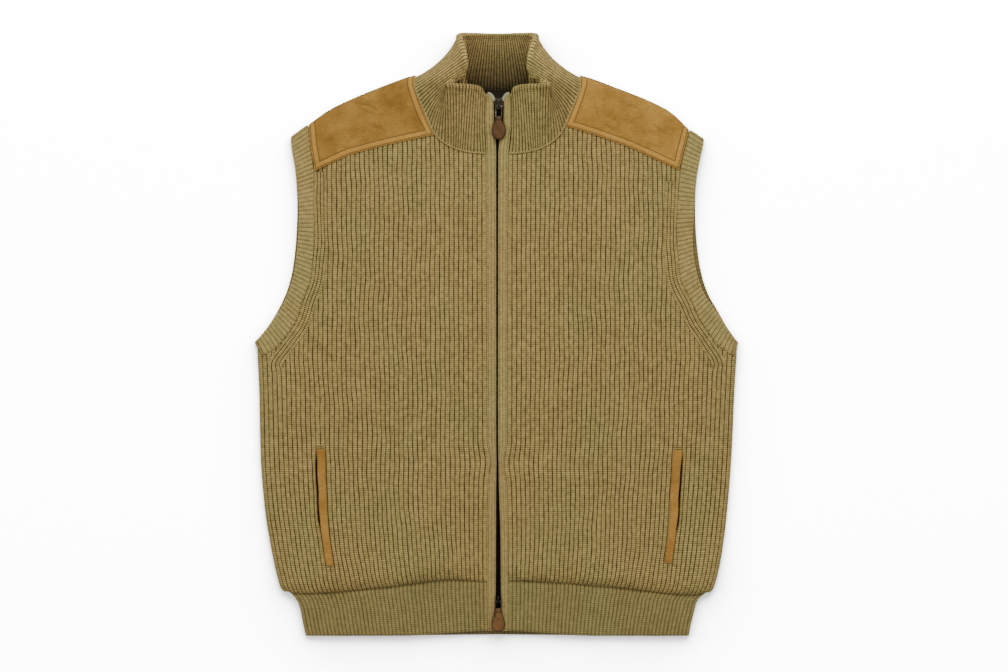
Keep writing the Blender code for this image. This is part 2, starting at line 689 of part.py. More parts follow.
for side, name in SIDE_NAMES.items():
    seam = band_line(side, "seam")
    length = sum((after - before).length for before, after in zip(seam, seam[1:]))
    ribs = round(length / BAND_PITCH)
    back_start = length + BAND_FOLD
    underarm_fold = even_steps(-BAND_FOLD, 0, FOLD_STEPS)
    shoulder_fold = even_steps(length, back_start, FOLD_STEPS)
    back_run = even_steps(back_start, back_start + length - SEAM_GAP, BACK_STEPS)
    plain_run = shoulder_fold[1:] + back_run[1:]
    face = [(x, BAND_WALL) for x in underarm_fold[:-1]]
    face += rib_columns(0, length, ribs, BAND_WALL, BAND_RELIEF)
    face += [(x, BAND_WALL) for x in plain_run]
    under = [(x, 0.0) for x in underarm_fold[:-1] + even_steps(0, length, ribs // 2) + plain_run]
    band = add_object(f"armhole_band_{name}", make_slab(face, under, BAND_ACROSS), vest)
    lay(band, band_place(side, length))
    finish(band, RIB, smooth=False)


# Hem band: ribs run down from the hem seam, the front in two halves and the back in one
def hem_foot(x):
    """The front hem's lower edge."""
    share = ease(abs(x - COLLAR_MIDDLE_X) / HEM_LIFT_WIDTH)
    return HEM_FOOT_ZIP + (HEM_FOOT_SIDE - HEM_FOOT_ZIP) * share


def hem_place(side):
    def place(across, down, z):
        """across runs from the zip to the side edge, down from the seam to the lower edge."""
        inner = placket_outer[side](HEM_MIDDLE_Y) + side * SEAM_GAP
        seam_end = hem_side_x[side](HEM_SIDES[0].y)
        x = inner + (seam_end - inner) * across
        top = hem_seam_y(x) - SEAM_GAP / 2
        y = top + (hem_foot(x) - top) * down
        inner = placket_outer[side](y) + side * SEAM_GAP
        x = inner + (hem_side_x[side](y) - inner) * across
        rounded = z * (0.6 if down > 0.99 and z > 1 else 1.0)
        return x, y, FRONT_FLOOR + rounded
    return place


HEM_DOWN = (0.0, 0.5, 0.93, 1.0)
HEM_MIDDLE_Y = -345.0
for side, name in SIDE_NAMES.items():
    width = abs(hem_side_x[side](HEM_MIDDLE_Y) - placket_outer[side](HEM_MIDDLE_Y))
    ribs = round(width / HEM_PITCH)
    slab = make_slab(rib_columns(0, 1, ribs, HEM_WALL, HEM_RELIEF),
                     [(x, 0.0) for x in even_steps(0, 1, ribs // 2)], HEM_DOWN)
    hem = add_object(f"hem_front_{name}", slab, vest)
    lay(hem, hem_place(side))
    finish(hem, RIB, smooth=False)

top_corners = HEM_SIDES[0]
hem_back_outline = [(x, hem_seam_y(x) - SEAM_GAP / 2)
                    for x in even_steps(top_corners.right, top_corners.left, 24)]
side_rows = [row.y for row in HEM_SIDES[1:-1]]
hem_back_outline += [(hem_side_x[LEFT](y), y) for y in side_rows]
HEM_BACK_FOOT = ((240.5, -376.5), (200, -377.5), (100, -376.5), (0, -375.5), (-100, -376.5), (-200, -377.5),
                 (-238.5, -376.5))
hem_back_outline += list(HEM_BACK_FOOT)
hem_back_outline += [(hem_side_x[RIGHT](y), y) for y in reversed(side_rows)]
hem_back = add_object("hem_back", outline_plate(hem_back_outline, 0, BACK_WALL), vest)
lay(hem_back, lambda x, y, z: (x, y, z))
finish(hem_back, RIB)


# Collar piece: ribs outside on its front and sides, and inside on the back, where they show
FOLD_STATION = 6.5  # the collar turns over onto the floor here
fold_reach = station_reach[int(FOLD_STATION * STATION_STEPS)]
pitch = COLLAR_LENGTH / COLLAR_RIBS
front_ribs = round(fold_reach / pitch)
back_reach = COLLAR_LENGTH - fold_reach
back_ribs = COLLAR_RIBS - 2 * front_ribs
half_wall = COLLAR_WALL / 2


def collar_face(crest, ribbed_front):
    """One face's profile: ribs on the stretch that shows, plain on the other."""
    front_relief, back_relief = (crest, 0.0) if ribbed_front else (0.0, crest)
    front_count = front_ribs if ribbed_front else front_ribs // 3
    back_count = back_ribs // 2 if ribbed_front else back_ribs
    face = rib_columns(0, fold_reach, front_count, half_wall, front_relief)[:-1]
    face += rib_columns(fold_reach, back_reach, back_count, half_wall, back_relief)
    face += rib_columns(back_reach, COLLAR_LENGTH, front_count, half_wall, front_relief)[1:]
    return face


COLLAR_UP = (0.0, 0.3, 0.62, 0.95, 1.0)
outer = collar_face(COLLAR_RELIEF * 2, True)
inner = [(x, -z) for x, z in collar_face(COLLAR_RELIEF * 2, False)]
collar = add_object("collar", make_slab(outer, inner, COLLAR_UP), vest)
lay(collar, collar_place)
finish(collar, RIB, smooth=False)


# Zip sliders: a rounded body with a bridge, through which the pull's ring turns
def add_box(bm, middle, size):
    bmesh.ops.create_cube(bm, size=1.0, matrix=Matrix.Translation(middle) @ Matrix.Diagonal((*size, 1.0)))


def slope_at(slider):
    half = slider.length / 2
    return math.atan((zip_rise(slider.y + half) - zip_rise(slider.y - half)) / slider.length)


seats = {}
for name, slider in SLIDERS.items():
    seat = bpy.data.objects.new(f"slider_{name}_seat", None)
    vest.objects.link(seat)
    tape_top = FRONT_FLOOR + zip_rise(slider.y) + TAPE_THICK
    seat.location = Vector((slider.x, slider.y, tape_top)) * MM
    seat.rotation_euler = (slope_at(slider), 0, 0)
    seats[name] = seat
    bm = bmesh.new()
    add_box(bm, (0, 0, SEAM_GAP + slider.height / 2), (slider.width, slider.length, slider.height))
    upright = [edge for edge in bm.edges if abs((edge.verts[0].co - edge.verts[1].co).z) > 1]
    bmesh.ops.bevel(bm, geom=upright, offset=slider.width * 0.3, segments=3, profile=0.5, affect="EDGES")
    body = add_object(f"slider_{name}", bm, vest)
    top = SEAM_GAP + slider.height
    reach = top + BRIDGE_CLEAR + BRIDGE_THICK
    foot = top - 0.6
    end = slider.length * 0.4
    arch = [(-end, foot), (-end, reach), (end, reach), (end, foot),
            (end - BRIDGE_THICK, foot), (end - BRIDGE_THICK, reach - BRIDGE_THICK),
            (-end + BRIDGE_THICK, reach - BRIDGE_THICK), (-end + BRIDGE_THICK, foot)]
    bridge = bmesh.new()
    face = bridge.faces.new([bridge.verts.new((-BRIDGE_WIDTH / 2, y, z)) for y, z in arch])
    drawn = bmesh.ops.extrude_face_region(bridge, geom=[face])["geom"]
    bmesh.ops.translate(bridge, vec=(BRIDGE_WIDTH, 0, 0),
                        verts=[item for item in drawn if isinstance(item, bmesh.types.BMVert)])
    bmesh.ops.recalc_face_normals(bridge, faces=bridge.faces)
    shape_by(body, bridge, "UNION")
    lay(body, lambda x, y, z: (x, y, z))
    body.parent = seat
    finish(body, METAL)

# Pulls: a wire ring through the bridge and a leather tab, turning about the ring's upper bar
for name, slider in SLIDERS.items():
    mount = bpy.data.objects.new(f"pull_{name}_hinge", None)
    vest.objects.link(mount)
    mount.parent = seats[name]
    mount.location = Vector((0, -slider.length * 0.4 + BRIDGE_THICK + RING_WIRE / 2 + 0.35,
                             SEAM_GAP + slider.height + BRIDGE_CLEAR / 2)) * MM
    mount.rotation_euler = (math.radians(slider.pull_tilt) - slope_at(slider), 0, 0)
    ring_curve = bpy.data.curves.new(f"pull_{name}_ring", "CURVE")
    ring_curve.dimensions = "3D"
    ring_curve.bevel_depth = RING_WIRE / 2 * MM
    ring_curve.bevel_resolution = 2
    loop = ring_curve.splines.new("POLY")
    half = RING_WIDTH / 2
    corners = ((-half, 0.0), (half, 0.0), (half + 0.4, -0.6), (half + 0.4, -RING_LENGTH + 1.2),
               (half - 1.0, -RING_LENGTH), (-half + 1.0, -RING_LENGTH), (-half - 0.4, -RING_LENGTH + 1.2),
               (-half - 0.4, -0.6))
    loop.points.add(len(corners) - 1)
    for point, (x, y) in zip(loop.points, corners):
        point.co = (x * MM, y * MM, 0, 1)
    loop.use_cyclic_u = True
    ring = bpy.data.objects.new(f"pull_{name}_ring", ring_curve)
    vest.objects.link(ring)
    ring.parent = mount
    ring_curve.materials.append(METAL)

    rim = [(row.half_width, -row.down) for row in TAB]
    rim += [(-row.half_width, -row.down) for row in reversed(TAB)]
    tab_bm = outline_plate(rim, -TAB_THICK / 2, TAB_THICK / 2)
    bmesh.ops.translate(tab_bm, vec=(0, -RING_LENGTH - RING_WIRE / 2 - SEAM_GAP, 0), verts=tab_bm.verts)
    bmesh.ops.scale(tab_bm, vec=(MM, MM, MM), verts=tab_bm.verts)
    tab = add_object(f"pull_{name}_tab", tab_bm, vest)
    tab.parent = mount
    finish(tab, LEATHER)
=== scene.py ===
"""Looks of a sleeveless full-zip vest in chunky rib knit, laid flat on its back.

Each cloth piece is knitted or cut flat, in millimetres, as the maker's pattern has it, and then laid in
its place in the vest. +Y runs from the hem to the neck and +X is the wearer's left.
"""

import math
from collections import namedtuple
from functools import partial

import bmesh
import bpy
import numpy as np
from mathutils import Matrix, Vector


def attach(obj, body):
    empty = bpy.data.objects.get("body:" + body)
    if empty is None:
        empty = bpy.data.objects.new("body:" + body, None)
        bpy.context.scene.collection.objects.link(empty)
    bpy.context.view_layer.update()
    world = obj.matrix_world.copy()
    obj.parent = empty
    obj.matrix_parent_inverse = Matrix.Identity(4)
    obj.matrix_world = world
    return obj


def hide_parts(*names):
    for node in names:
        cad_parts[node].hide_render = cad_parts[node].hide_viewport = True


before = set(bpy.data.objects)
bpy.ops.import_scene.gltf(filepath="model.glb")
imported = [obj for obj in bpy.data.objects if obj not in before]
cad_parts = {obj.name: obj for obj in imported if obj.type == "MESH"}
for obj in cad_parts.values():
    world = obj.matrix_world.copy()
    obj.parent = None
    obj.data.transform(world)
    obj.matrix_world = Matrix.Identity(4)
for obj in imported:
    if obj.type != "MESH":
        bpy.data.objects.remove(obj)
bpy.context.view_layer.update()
MM = 0.001

# Studio: a pale paper floor seen from straight above, with a large soft light over the neck end and
# weaker ones round the sides, so that a faint shadow falls below the hem, deepened by a painted shadow.


def put(name, data):
    item = bpy.data.objects.new(name, data)
    bpy.context.scene.collection.objects.link(item)
    return item


def plug(socket, value):
    """Links a wire to a node's input, or sets the input to a number or colour."""
    if isinstance(value, Wire):
        socket.id_data.links.new(value.socket, socket)
    elif value is not None:
        socket.default_value = (*value, 1) if socket.type == "RGBA" else value


def add_node(tree, kind, values=(), out=0, **settings):
    """A shader node with its inputs set or linked in order; gives the output that is asked for."""
    node = tree.nodes.new(f"ShaderNode{kind}")
    for key, value in settings.items():
        setattr(node, key, value)
    for socket, value in zip(node.inputs, values):
        plug(socket, value)
    return Wire(node.outputs[out])


class Wire:
    """What comes out of a shader node. Sums, differences, products and powers of wires are Math nodes."""

    def __init__(self, socket):
        self.socket = socket

    def math(self, operation, *values):
        return add_node(self.socket.id_data, "Math", values, operation=operation)

    def __add__(self, other):
        return self.math("ADD", self, other)

    def __mul__(self, other):
        return self.math("MULTIPLY", self, other)

    def __sub__(self, other):
        return self.math("SUBTRACT", self, other)

    def __rsub__(self, other):
        return self.math("SUBTRACT", other, self)

    def __pow__(self, other):
        return self.math("POWER", self, other)

    def __abs__(self):
        return self.math("ABSOLUTE", self)

    def at_least(self, other):
        return self.math("MAXIMUM", self, other)

    def ramp(self, low, high):
        """0 below low, 1 above high, and smooth between."""
        return add_node(self.socket.id_data, "MapRange", (self, low, high, 0.0, 1.0), interpolation_type="SMOOTHSTEP")

    __radd__, __rmul__ = __add__, __mul__


class Finish:
    """A material. Values that are the same all over are set on its shader, the rest comes from nodes."""

    def __init__(self, name, roughness, **shader_values):
        self.material = bpy.data.materials.new(name)
        self.material.use_nodes = True
        self.shader = self.material.node_tree.nodes["Principled BSDF"]
        self.shader.inputs["Roughness"].default_value = roughness
        for key, value in shader_values.items():
            self.shader.inputs[key.replace("_", " ")].default_value = value
        self.place = self.node("TexCoord", out=3)

    def node(self, kind, values=(), out=0, **settings):
        return add_node(self.material.node_tree, kind, values, out, **settings)

    def noise(self, scale, detail=3.0, roughness=0.6, place=None):
        return self.node("TexNoise", (place or self.place, None, scale, detail, roughness))

    def stretched(self, scale, shift=(0, 0, 0), turn=(0, 0, 0)):
        return self.node("Mapping", (self.place, shift, turn, scale))

    def part(self, axis, of=None):
        return self.node("SeparateXYZ", (of or self.place,), out=axis)

    def mark(self, name):
        """A number that the mesh has at each point."""
        return self.node("Attribute", out=2, attribute_name=name)

    def mix(self, share, first, second, kind="MIX"):
        node = self.material.node_tree.nodes.new("ShaderNodeMix")
        node.data_type, node.blend_type = "RGBA", kind
        for index, value in ((0, share), (6, first), (7, second)):
            plug(node.inputs[index], value)
        return Wire(node.outputs[2])

    def paint(self, colour, light=None):
        if light:
            colour = self.mix(1.0, colour, self.node("CombineColor", (light, light, light)), "MULTIPLY")
        plug(self.shader.inputs["Base Color"], colour)

    def bump(self, height, distance, strength=1.0):
        bump = self.node("Bump", (strength, distance))
        plug(bump.socket.node.inputs["Height"], height)
        plug(self.shader.inputs["Normal"], bump)


# The photo's paper is washed out to white, so the camera sees it brighter than it lights the cloth. A soft
# shadow towards the hem is painted into its colour, darker where the vest hides more of the way to the neck.
PAPER_GLARE = 14.0
SHADOW_REACH, SHADOW_DEPTH, DARKEST = 0.075, 4.0, 0.17
TOWARDS_NECK = (0.0, 0.91, 0.41)
paper = Finish("floor_paper", 0.9, Specular_IOR_Level=0.0)
open_share = paper.node("AmbientOcclusion", (None, SHADOW_REACH, paper.node("CombineXYZ", TOWARDS_NECK)), out=1,
                        samples=8)
glare_and_painted_shadow = (open_share ** SHADOW_DEPTH).at_least(DARKEST) * PAPER_GLARE
paper.paint(paper.mix(paper.noise(60.0), (0.90, 0.90, 0.90), (0.93, 0.93, 0.93)),
            1.0 + paper.node("LightPath") * (glare_and_painted_shadow - 1.0))
floor_bm = bmesh.new()
bmesh.ops.create_grid(floor_bm, x_segments=1, y_segments=1, size=5.0,
                      matrix=Matrix.Translation((0, 0, -0.0004)))
floor = put("floor", bpy.data.meshes.new("floor"))
floor_bm.to_mesh(floor.data)
floor_bm.free()
floor.data.materials.append(paper.material)

PHOTO_CENTRE = (9.4 * MM, -1.6 * MM)
CAMERA_HEIGHT = 3.0
VIEW_WIDTH = 1.260  # what the photo's frame covers, in metres
camera = put("camera", bpy.data.cameras.new("camera"))
camera.location = (*PHOTO_CENTRE, CAMERA_HEIGHT)
camera.data.lens = camera.data.sensor_width * (CAMERA_HEIGHT - 0.008) / VIEW_WIDTH
bpy.context.scene.camera = camera

for name, spot, size, power in (("over_neck", (0.1, 2.0, 2.0), 1.4, 54.0), ("over_hem", (-0.2, -1.7, 2.6), 2.0, 9.0),
                                ("at_left", (-2.1, 0.2, 1.9), 1.4, 20.0), ("at_right", (2.1, 0.2, 1.9), 1.4, 18.0)):
    light = bpy.data.lights.new(name, "AREA")
    light.shape = "DISK"
    light.size = size
    light.energy = power
    lamp = put(name, light)
    lamp.location = spot
    lamp.rotation_euler = (-lamp.location).to_track_quat("-Z", "Y").to_euler()
world = bpy.data.worlds.new("studio_air")
world.use_nodes = True
air = world.node_tree.nodes["Background"]
air.inputs["Color"].default_value = (1.0, 1.0, 1.0, 1.0)
air.inputs["Strength"].default_value = 0.30
bpy.context.scene.world = world

# Collar: a stand of fine double rib, linked to the neckline. Its back lies on the floor, its sides rise,
# and its front corners fold over them. It comes first because the panels are cut to its seam.
SEAM_GAP = 0.3
RIGHT, LEFT = -1, 1  # the wearer's sides, as signs of X
SIDE_NAMES = {RIGHT: "right", LEFT: "left"}


def rows_of(kind, *rows):
    """A pattern table, each row with its columns named."""
    return tuple(kind(*row) for row in rows)


CollarRow = namedtuple("CollarRow", "seam middle rim")
COLLAR = rows_of(
    CollarRow,
    ((-13.0, 226.9, 7.0), (-15.0, 263.0, 11.5), (-14.4, 301.5, 17.0)),
    ((-20.0, 227.8, 7.1), (-21.5, 266.2, 12.6), (-19.4, 308.8, 19.0)),
    ((-38.0, 230.0, 7.2), (-35.6, 271.0, 15.0), (-33.0, 312.0, 22.0)),
    ((-58.5, 237.5, 7.4), (-58.5, 276.0, 20.0), (-60.0, 312.5, 34.0)),
    ((-75.5, 251.0, 7.6), (-66.5, 288.0, 17.5), (-51.0, 319.5, 27.0)),
    ((-89.0, 279.5, 7.8), (-67.0, 306.0, 19.5), (-36.0, 327.5, 33.0)),
    ((-99.5, 305.0, 7.8), (-68.0, 325.0, 20.0), (-36.5, 345.0, 40.0)),
    ((-101.5, 319.0, 5.6), (-68.5, 339.5, 11.5), (-42.0, 366.0, 27.0)),
    ((-92.0, 317.5, 2.3), (-63.0, 344.5, 3.3), (-44.5, 376.5, 10.5)),
    ((-52.0, 305.0, 2.1), (-41.0, 341.0, 2.1), (-29.5, 378.2, 3.4)),
    ((1.25, 300.0, 2.1), (1.25, 338.5, 2.1), (1.25, 377.4, 2.4)),
)
COLLAR_LEFT_END = CollarRow((15.4, 226.9, 7.0), (19.4, 263.0, 11.5), (19.2, 301.5, 17.0))
COLLAR_MIDDLE_X = 1.25
COLLAR_RIBS = 112
COLLAR_WALL = 3.2
COLLAR_RELIEF = 1.0
COLLAR_ROW = 2.0  # height of a stitch
COLLAR_ROWS = 30
# Inside the collar's side folds, the painted shade gives way to painted light.
COLLAR_FOLD = (0.0365, 0.0405)  # how far from the middle its side folds begin inside and are full, in metres
KNIT_DEPTH = 0.0006  # of the relief in a stitch, in metres

collar_rows = COLLAR + tuple(CollarRow(*[(2 * COLLAR_MIDDLE_X - x, y, z) for x, y, z in row])
                             for row in reversed(COLLAR[1:-1])) + (COLLAR_LEFT_END,)
LAST_STATION = len(collar_rows) - 1


def spline_at(points, t):
    """A rounded curve through the points, at each t, counted in points."""
    knots = np.array(points, float)
    knots = np.vstack((2 * knots[0] - knots[1], knots, 2 * knots[-1] - knots[-2]))
    t = np.asarray(t, float)
    i = np.clip(t.astype(int), 0, len(points) - 2)
    share = (t - i)[..., None]
    a, b, c, d = (knots[i + k] for k in range(4))
    return 0.5 * (2 * b + (c - a) * share + (2 * a - 5 * b + 4 * c - d) * share ** 2
                  + (3 * b - a - 3 * c + d) * share ** 3)


def collar_surface(t, up):
    """The middle of the collar's wall, at stations t and this share of the way from seam to rim."""
    up = np.asarray(up, float)[..., None]
    seam, middle, rim = (spline_at([getattr(row, name) for row in collar_rows], t)
                         for name in ("seam", "middle", "rim"))
    return seam * (1 - up) * (1 - 2 * up) + middle * 4 * up * (1 - up) + rim * up * (2 * up - 1)


def reach_of(line):
    """How far along a line of points each one is."""
    return np.concatenate(([0], np.cumsum(np.linalg.norm(np.diff(line, axis=0), axis=1))))


def ease(share):
    share = np.clip(share, 0.0, 1.0)
    return share * share * (3 - 2 * share)


def unit(vectors):
    return vectors / np.maximum(np.linalg.norm(vectors, axis=-1, keepdims=True), 1e-9)


def round_off(distance, radius, least=0.0):
    """Share of the height that is left at a distance from an edge rounded by a radius."""
    return np.sqrt(np.clip(1 - (1 - np.clip(distance / radius, 0, 1)) ** 2, least, 1))


def fall_off(distance, width):
    return (1 - np.clip(distance / width, 0, 1)) ** 2


stations = np.linspace(0, LAST_STATION, 60 * LAST_STATION + 1)
station_reach = reach_of(collar_surface(stations, np.full(len(stations), 0.5)))
COLLAR_LENGTH = station_reach[-1]


def collar_place(x, up, z):
    """x runs along the collar's middle line, up from seam to rim, z out of the middle of the wall."""
    t = np.interp(x, station_reach, stations)
    near = 0.04
    along = collar_surface(t + near, up) - collar_surface(t - near, up)
    upward = collar_surface(t, up + near) - collar_surface(t, up - near)
    point = collar_surface(t, up) + unit(np.cross(upward, along)) * z[:, None]
    point[:, 2] = np.maximum(point[:, 2], 0.0)
    return point


RIB_SHAPE = (0.0, 0.62, 0.95, 1.0, 0.82, 1.0, 0.95, 0.62)  # across one rib, from groove to groove


def rib_columns(start, end, ribs, wall, relief):
    """Outer profile of a rib knit: in each rib two strands side by side, between grooves."""
    count = len(RIB_SHAPE)
    return [(start + (end - start) * k / (ribs * count), wall + relief * RIB_SHAPE[k % count])
            for k in range(ribs * count + 1)]


def even_steps(start, end, count):
    return [start + (end - start) * k / count for k in range(count + 1)]


def new_verts(made):
    return [part for part in made if isinstance(part, bmesh.types.BMVert)]


def make_slab(face, under, rows):
    """A flat wall: the profile face over the profile under, drawn out along Y through the rows."""
    bm = bmesh.new()
    ring = [bm.verts.new((x, rows[0], z)) for x, z in [*face, *reversed(under)]]
    edges = list(bm.faces.new(ring).edges)
    for before, after in zip(rows, rows[1:]):
        drawn = bmesh.ops.extrude_edge_only(bm, edges=edges)["geom"]
        edges = [part for part in drawn if isinstance(part, bmesh.types.BMEdge)]
        bmesh.ops.translate(bm, vec=(0, after - before, 0), verts=new_verts(drawn))
    bmesh.ops.contextual_create(bm, geom=edges)
    bmesh.ops.recalc_face_normals(bm, faces=bm.faces)
    return bm


def draw_out(bm, outline, way):
    """A plate: a face through the points of the outline, drawn out; gives its two rims' points."""
    face = bm.faces.new([bm.verts.new(point) for point in outline])
    verts = new_verts(bmesh.ops.extrude_face_region(bm, geom=[face])["geom"])
    bmesh.ops.translate(bm, vec=way, verts=verts)
    bmesh.ops.recalc_face_normals(bm, faces=bm.faces)
    return verts + list(face.verts)


def add_piece(name, bm):
    mesh = bpy.data.meshes.new(name)
    bm.to_mesh(mesh)
    bm.free()
    return put(name, mesh)


def values_of(items, key, width=1, kind=np.float32):
    """A value, or a row of them, from each corner, face or point of a mesh."""
    values = np.zeros(len(items) * width, kind)
    items.foreach_get(key, values)
    return values.reshape(-1, width) if width > 1 else values


def points_of(mesh):
    return values_of(mesh.vertices, "co", 3).astype(float)


def set_points(mesh, points):
    mesh.vertices.foreach_set("co", points.astype(np.float32).ravel())


def mark_points(mesh, name, values):
    mesh.attributes.new(name, "FLOAT", "POINT").data.foreach_set("value", values.astype(np.float32))


def split_faces(bm):
    """Splits the faces that have more than four corners."""
    bmesh.ops.triangulate(bm, faces=[face for face in bm.faces if len(face.verts) > 4])


def lay(piece, place, across, along, first=0.0, plain_from=math.inf, cut_sides=False):
    """Keeps the flat place as a UV map, counted in ribs and in rows, then lays the points in the vest.

    The first rib starts at first, and beyond plain_from the cloth has no more ribs. The faces of
    cut sides are knit like a rib's crest.
    """
    mesh = piece.data
    bm = bmesh.new()
    bm.from_mesh(mesh)
    split_faces(bm)
    bm.to_mesh(mesh)
    bm.free()
    flat = points_of(mesh)
    spots = flat[values_of(mesh.loops, "vertex_index", kind=np.int32), :2]
    spots[:, 0] = np.minimum(spots[:, 0], plain_from) - first
    if cut_sides:
        facing = np.abs(values_of(mesh.polygons, "normal", 3))
        corners = values_of(mesh.polygons, "loop_total", kind=np.int32)
        spots[np.repeat((facing[:, 2] < 0.2) & (facing[:, 0] > 0.3), corners), 0] = across / 2
    uv = mesh.uv_layers.new(name="knit_count")
    uv.data.foreach_set("uv", (spots / (across, along)).astype(np.float32).ravel())
    set_points(mesh, place(*flat.T) * MM)
    bm = bmesh.new()
    bm.from_mesh(mesh)
    if bm.calc_volume(signed=True) < 0:
        bmesh.ops.reverse_faces(bm, faces=bm.faces)
    bm.to_mesh(mesh)
    bm.free()


def smooth_from(mesh, angle):
    mesh.shade_smooth()
    mesh.set_sharp_from_angle(angle=math.radians(angle))


def finish_cloth(piece, material, nodes):
    """The last steps for a cloth piece: its material, its smoothness, and what it stands for."""
    mesh = piece.data
    finishes = material if isinstance(material, tuple) else (material,)
    indices = values_of(mesh.polygons, "material_index", kind=np.int32)
    mesh.materials.clear()
    for one in finishes:
        mesh.materials.append(one)
    mesh.polygons.foreach_set("material_index", np.minimum(indices, len(finishes) - 1))
    smooth_from(mesh, 62)
    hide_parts(*nodes)
    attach(piece, "garment")


def from_middle(value):
    """0 in the middle of each count and 1 at its ends."""
    return abs(value.math("FRACT", value) - 0.5) * 2.0


def knit_finish(name, crest, groove, groove_width=0.3, row_shade=0.5, mottle=0.5, slant=0.25, split=0.0,
                painted_shade_rows=0.0, painted_light_beyond=0.0, shaded_below=0.0):
    """Matt wool and cotton yarn: a stitch on each count of the UV map. The grooves between the ribs and the
    lines between the rows are painted dark, as painted shade.

    split paints shade on the line between the two strands of each rib. With a deep end, the cloth is
    painted darker towards the start of its rows, as painted shade deep inside a collar, but not in the
    folds at its sides, where it is painted lighter, as painted light. Beyond painted_light_beyond, along Y, it is
    painted paler, as painted light, and what lies lower than shaded_below is painted darker, as painted shade.
    """
    finish = Finish(name, 0.95, Sheen_Weight=0.06, Sheen_Roughness=0.5, Specular_IOR_Level=0.08)
    count = finish.node("UVMap", uv_map="knit_count")
    fuzz = finish.noise(1300.0, 2.0)
    patchy = finish.noise(210.0)
    cloudy = finish.noise(36.0, 3.0, 0.55)
    broad = finish.noise(8.0, 2.0, 0.5, finish.stretched((1.6, 0.8, 1.0), (3, 1, 0)))
    pulled = finish.noise(150.0, 2.0, 0.5, finish.stretched((1.0, 0.22, 1.0)))
    row = finish.part(1, count)
    wale = from_middle(finish.part(0, count))
    strand = from_middle(row + (wale * slant + (patchy - 0.5) * 0.35))
    # Painted shade: the grooves between ribs, the gaps between rows and the line between strands take the groove
    # colour.
    dark = wale.ramp(1.0 - groove_width, 1.0 - groove_width * 0.25) * (pulled.ramp(0.36, 0.62) * 0.3 + 0.74)
    dark = dark.at_least(strand.ramp(0.4, 0.85) * row_shade)
    if split:
        dark = dark.at_least((1.0 - wale.ramp(0.0, 0.22)) * split)
    olive, brown = (tuple(value * change for value, change in zip(crest, changes))
                    for changes in ((0.97, 1.015, 1.0), (1.035, 0.985, 0.98)))
    light = patchy.ramp(0.28, 0.75) * mottle + (1.0 - mottle * 0.5)
    light = light * (cloudy * 0.24 + 0.88) * (fuzz * 0.36 + 0.82)
    # Painted shade towards the start of the rows, and painted light in the collar's side folds.
    if painted_shade_rows:
        depth = finish.node("MapRange", (row, 0.0, painted_shade_rows, 0.03, 1.0))
        fold_painted_light = abs(finish.part(0) - COLLAR_MIDDLE_X * MM).ramp(*COLLAR_FOLD)
        light = light * depth.at_least(fold_painted_light * 1.5)
    # Painted light: beyond this Y the yarn is painted paler.
    if painted_light_beyond:
        light = light * (finish.part(1).ramp(painted_light_beyond, painted_light_beyond + 0.016) * 0.36 + 1.0)
    # Painted shade: what lies lower is painted darker.
    if shaded_below:
        light = light * (finish.part(2).ramp(shaded_below, shaded_below + 0.0006) * 0.5 + 0.5)
    finish.paint(finish.mix(dark, finish.mix(broad.ramp(0.38, 0.62), olive, brown), groove), light)
    finish.bump((1.0 - strand ** 2.0) + fuzz * 0.6, KNIT_DEPTH, 0.9)
    return finish.material


# The collar's raised sides and back, beyond 308 mm along Y, are painted paler, as painted light.
COLLAR_KNIT = knit_finish("collar_knit", (0.385, 0.287, 0.10), (0.078, 0.053, 0.012), groove_width=0.5, row_shade=0.25,
                          painted_light_beyond=0.308)
# The collar's inside: painted darker towards its seam, as painted shade, and lighter in its side folds, as painted
# light.
COLLAR_INSIDE_SHADED = knit_finish("collar_inside_shaded", (0.37, 0.265, 0.095), (0.075, 0.048, 0.012), groove_width=0.55,
                            row_shade=0.2, painted_shade_rows=34.0)

up_rows = [0.0, 0.02] + even_steps(0.05, 0.9, COLLAR_ROWS) + [0.92, 0.94, 0.96, 0.975, 0.987, 0.995, 1.0]
COLLAR_HEIGHT = 75.0
RIM_ROLL, RIM_ROLL_HEIGHT, RIM_ROUNDING = 0.75, 3.5, 4.2
SHADED_INSIDE_TOP = 0.955  # how far up the inside's painted shade reaches


def collar_rim(x, up, z):
    """Rounds the wall over at the rim, where it is rolled and thicker."""
    from_rim = (1 - up) * COLLAR_HEIGHT
    rolled = 1 + RIM_ROLL * ease(1 - (from_rim - RIM_ROLL_HEIGHT) / 5)
    return collar_place(x, up, z * rolled * round_off(from_rim, RIM_ROUNDING, 0.02))


half_wall = COLLAR_WALL / 2
outer = rib_columns(0, COLLAR_LENGTH, COLLAR_RIBS, half_wall, COLLAR_RELIEF)
inner = [(x, -z) for x, z in outer]
collar = add_piece("collar_stand", make_slab(outer, inner, up_rows))
middles = values_of(collar.data.polygons, "center", 3)
# The inner faces below the rim take the second material, with its painted shade.
inside = (middles[:, 2] < -half_wall * 0.5) & (middles[:, 1] < SHADED_INSIDE_TOP)
collar.data.polygons.foreach_set("material_index", inside.astype(np.int32))
lay(collar, collar_rim, COLLAR_LENGTH / COLLAR_RIBS, COLLAR_ROW / COLLAR_HEIGHT)
finish_cloth(collar, (COLLAR_KNIT, COLLAR_INSIDE_SHADED), ["collar"])

# Back panel: chunky rib knit that lies flat on the floor under the fronts. A sliver of it shows along the
# shoulders and armholes.
BACK_WALL = 3.5
UNDERARM_Y = -27.0
PANEL_FOOT = -320.0
RIB_PITCH = 5.85
STITCH_ROW = 2.5
BAND_WALL = 3.5

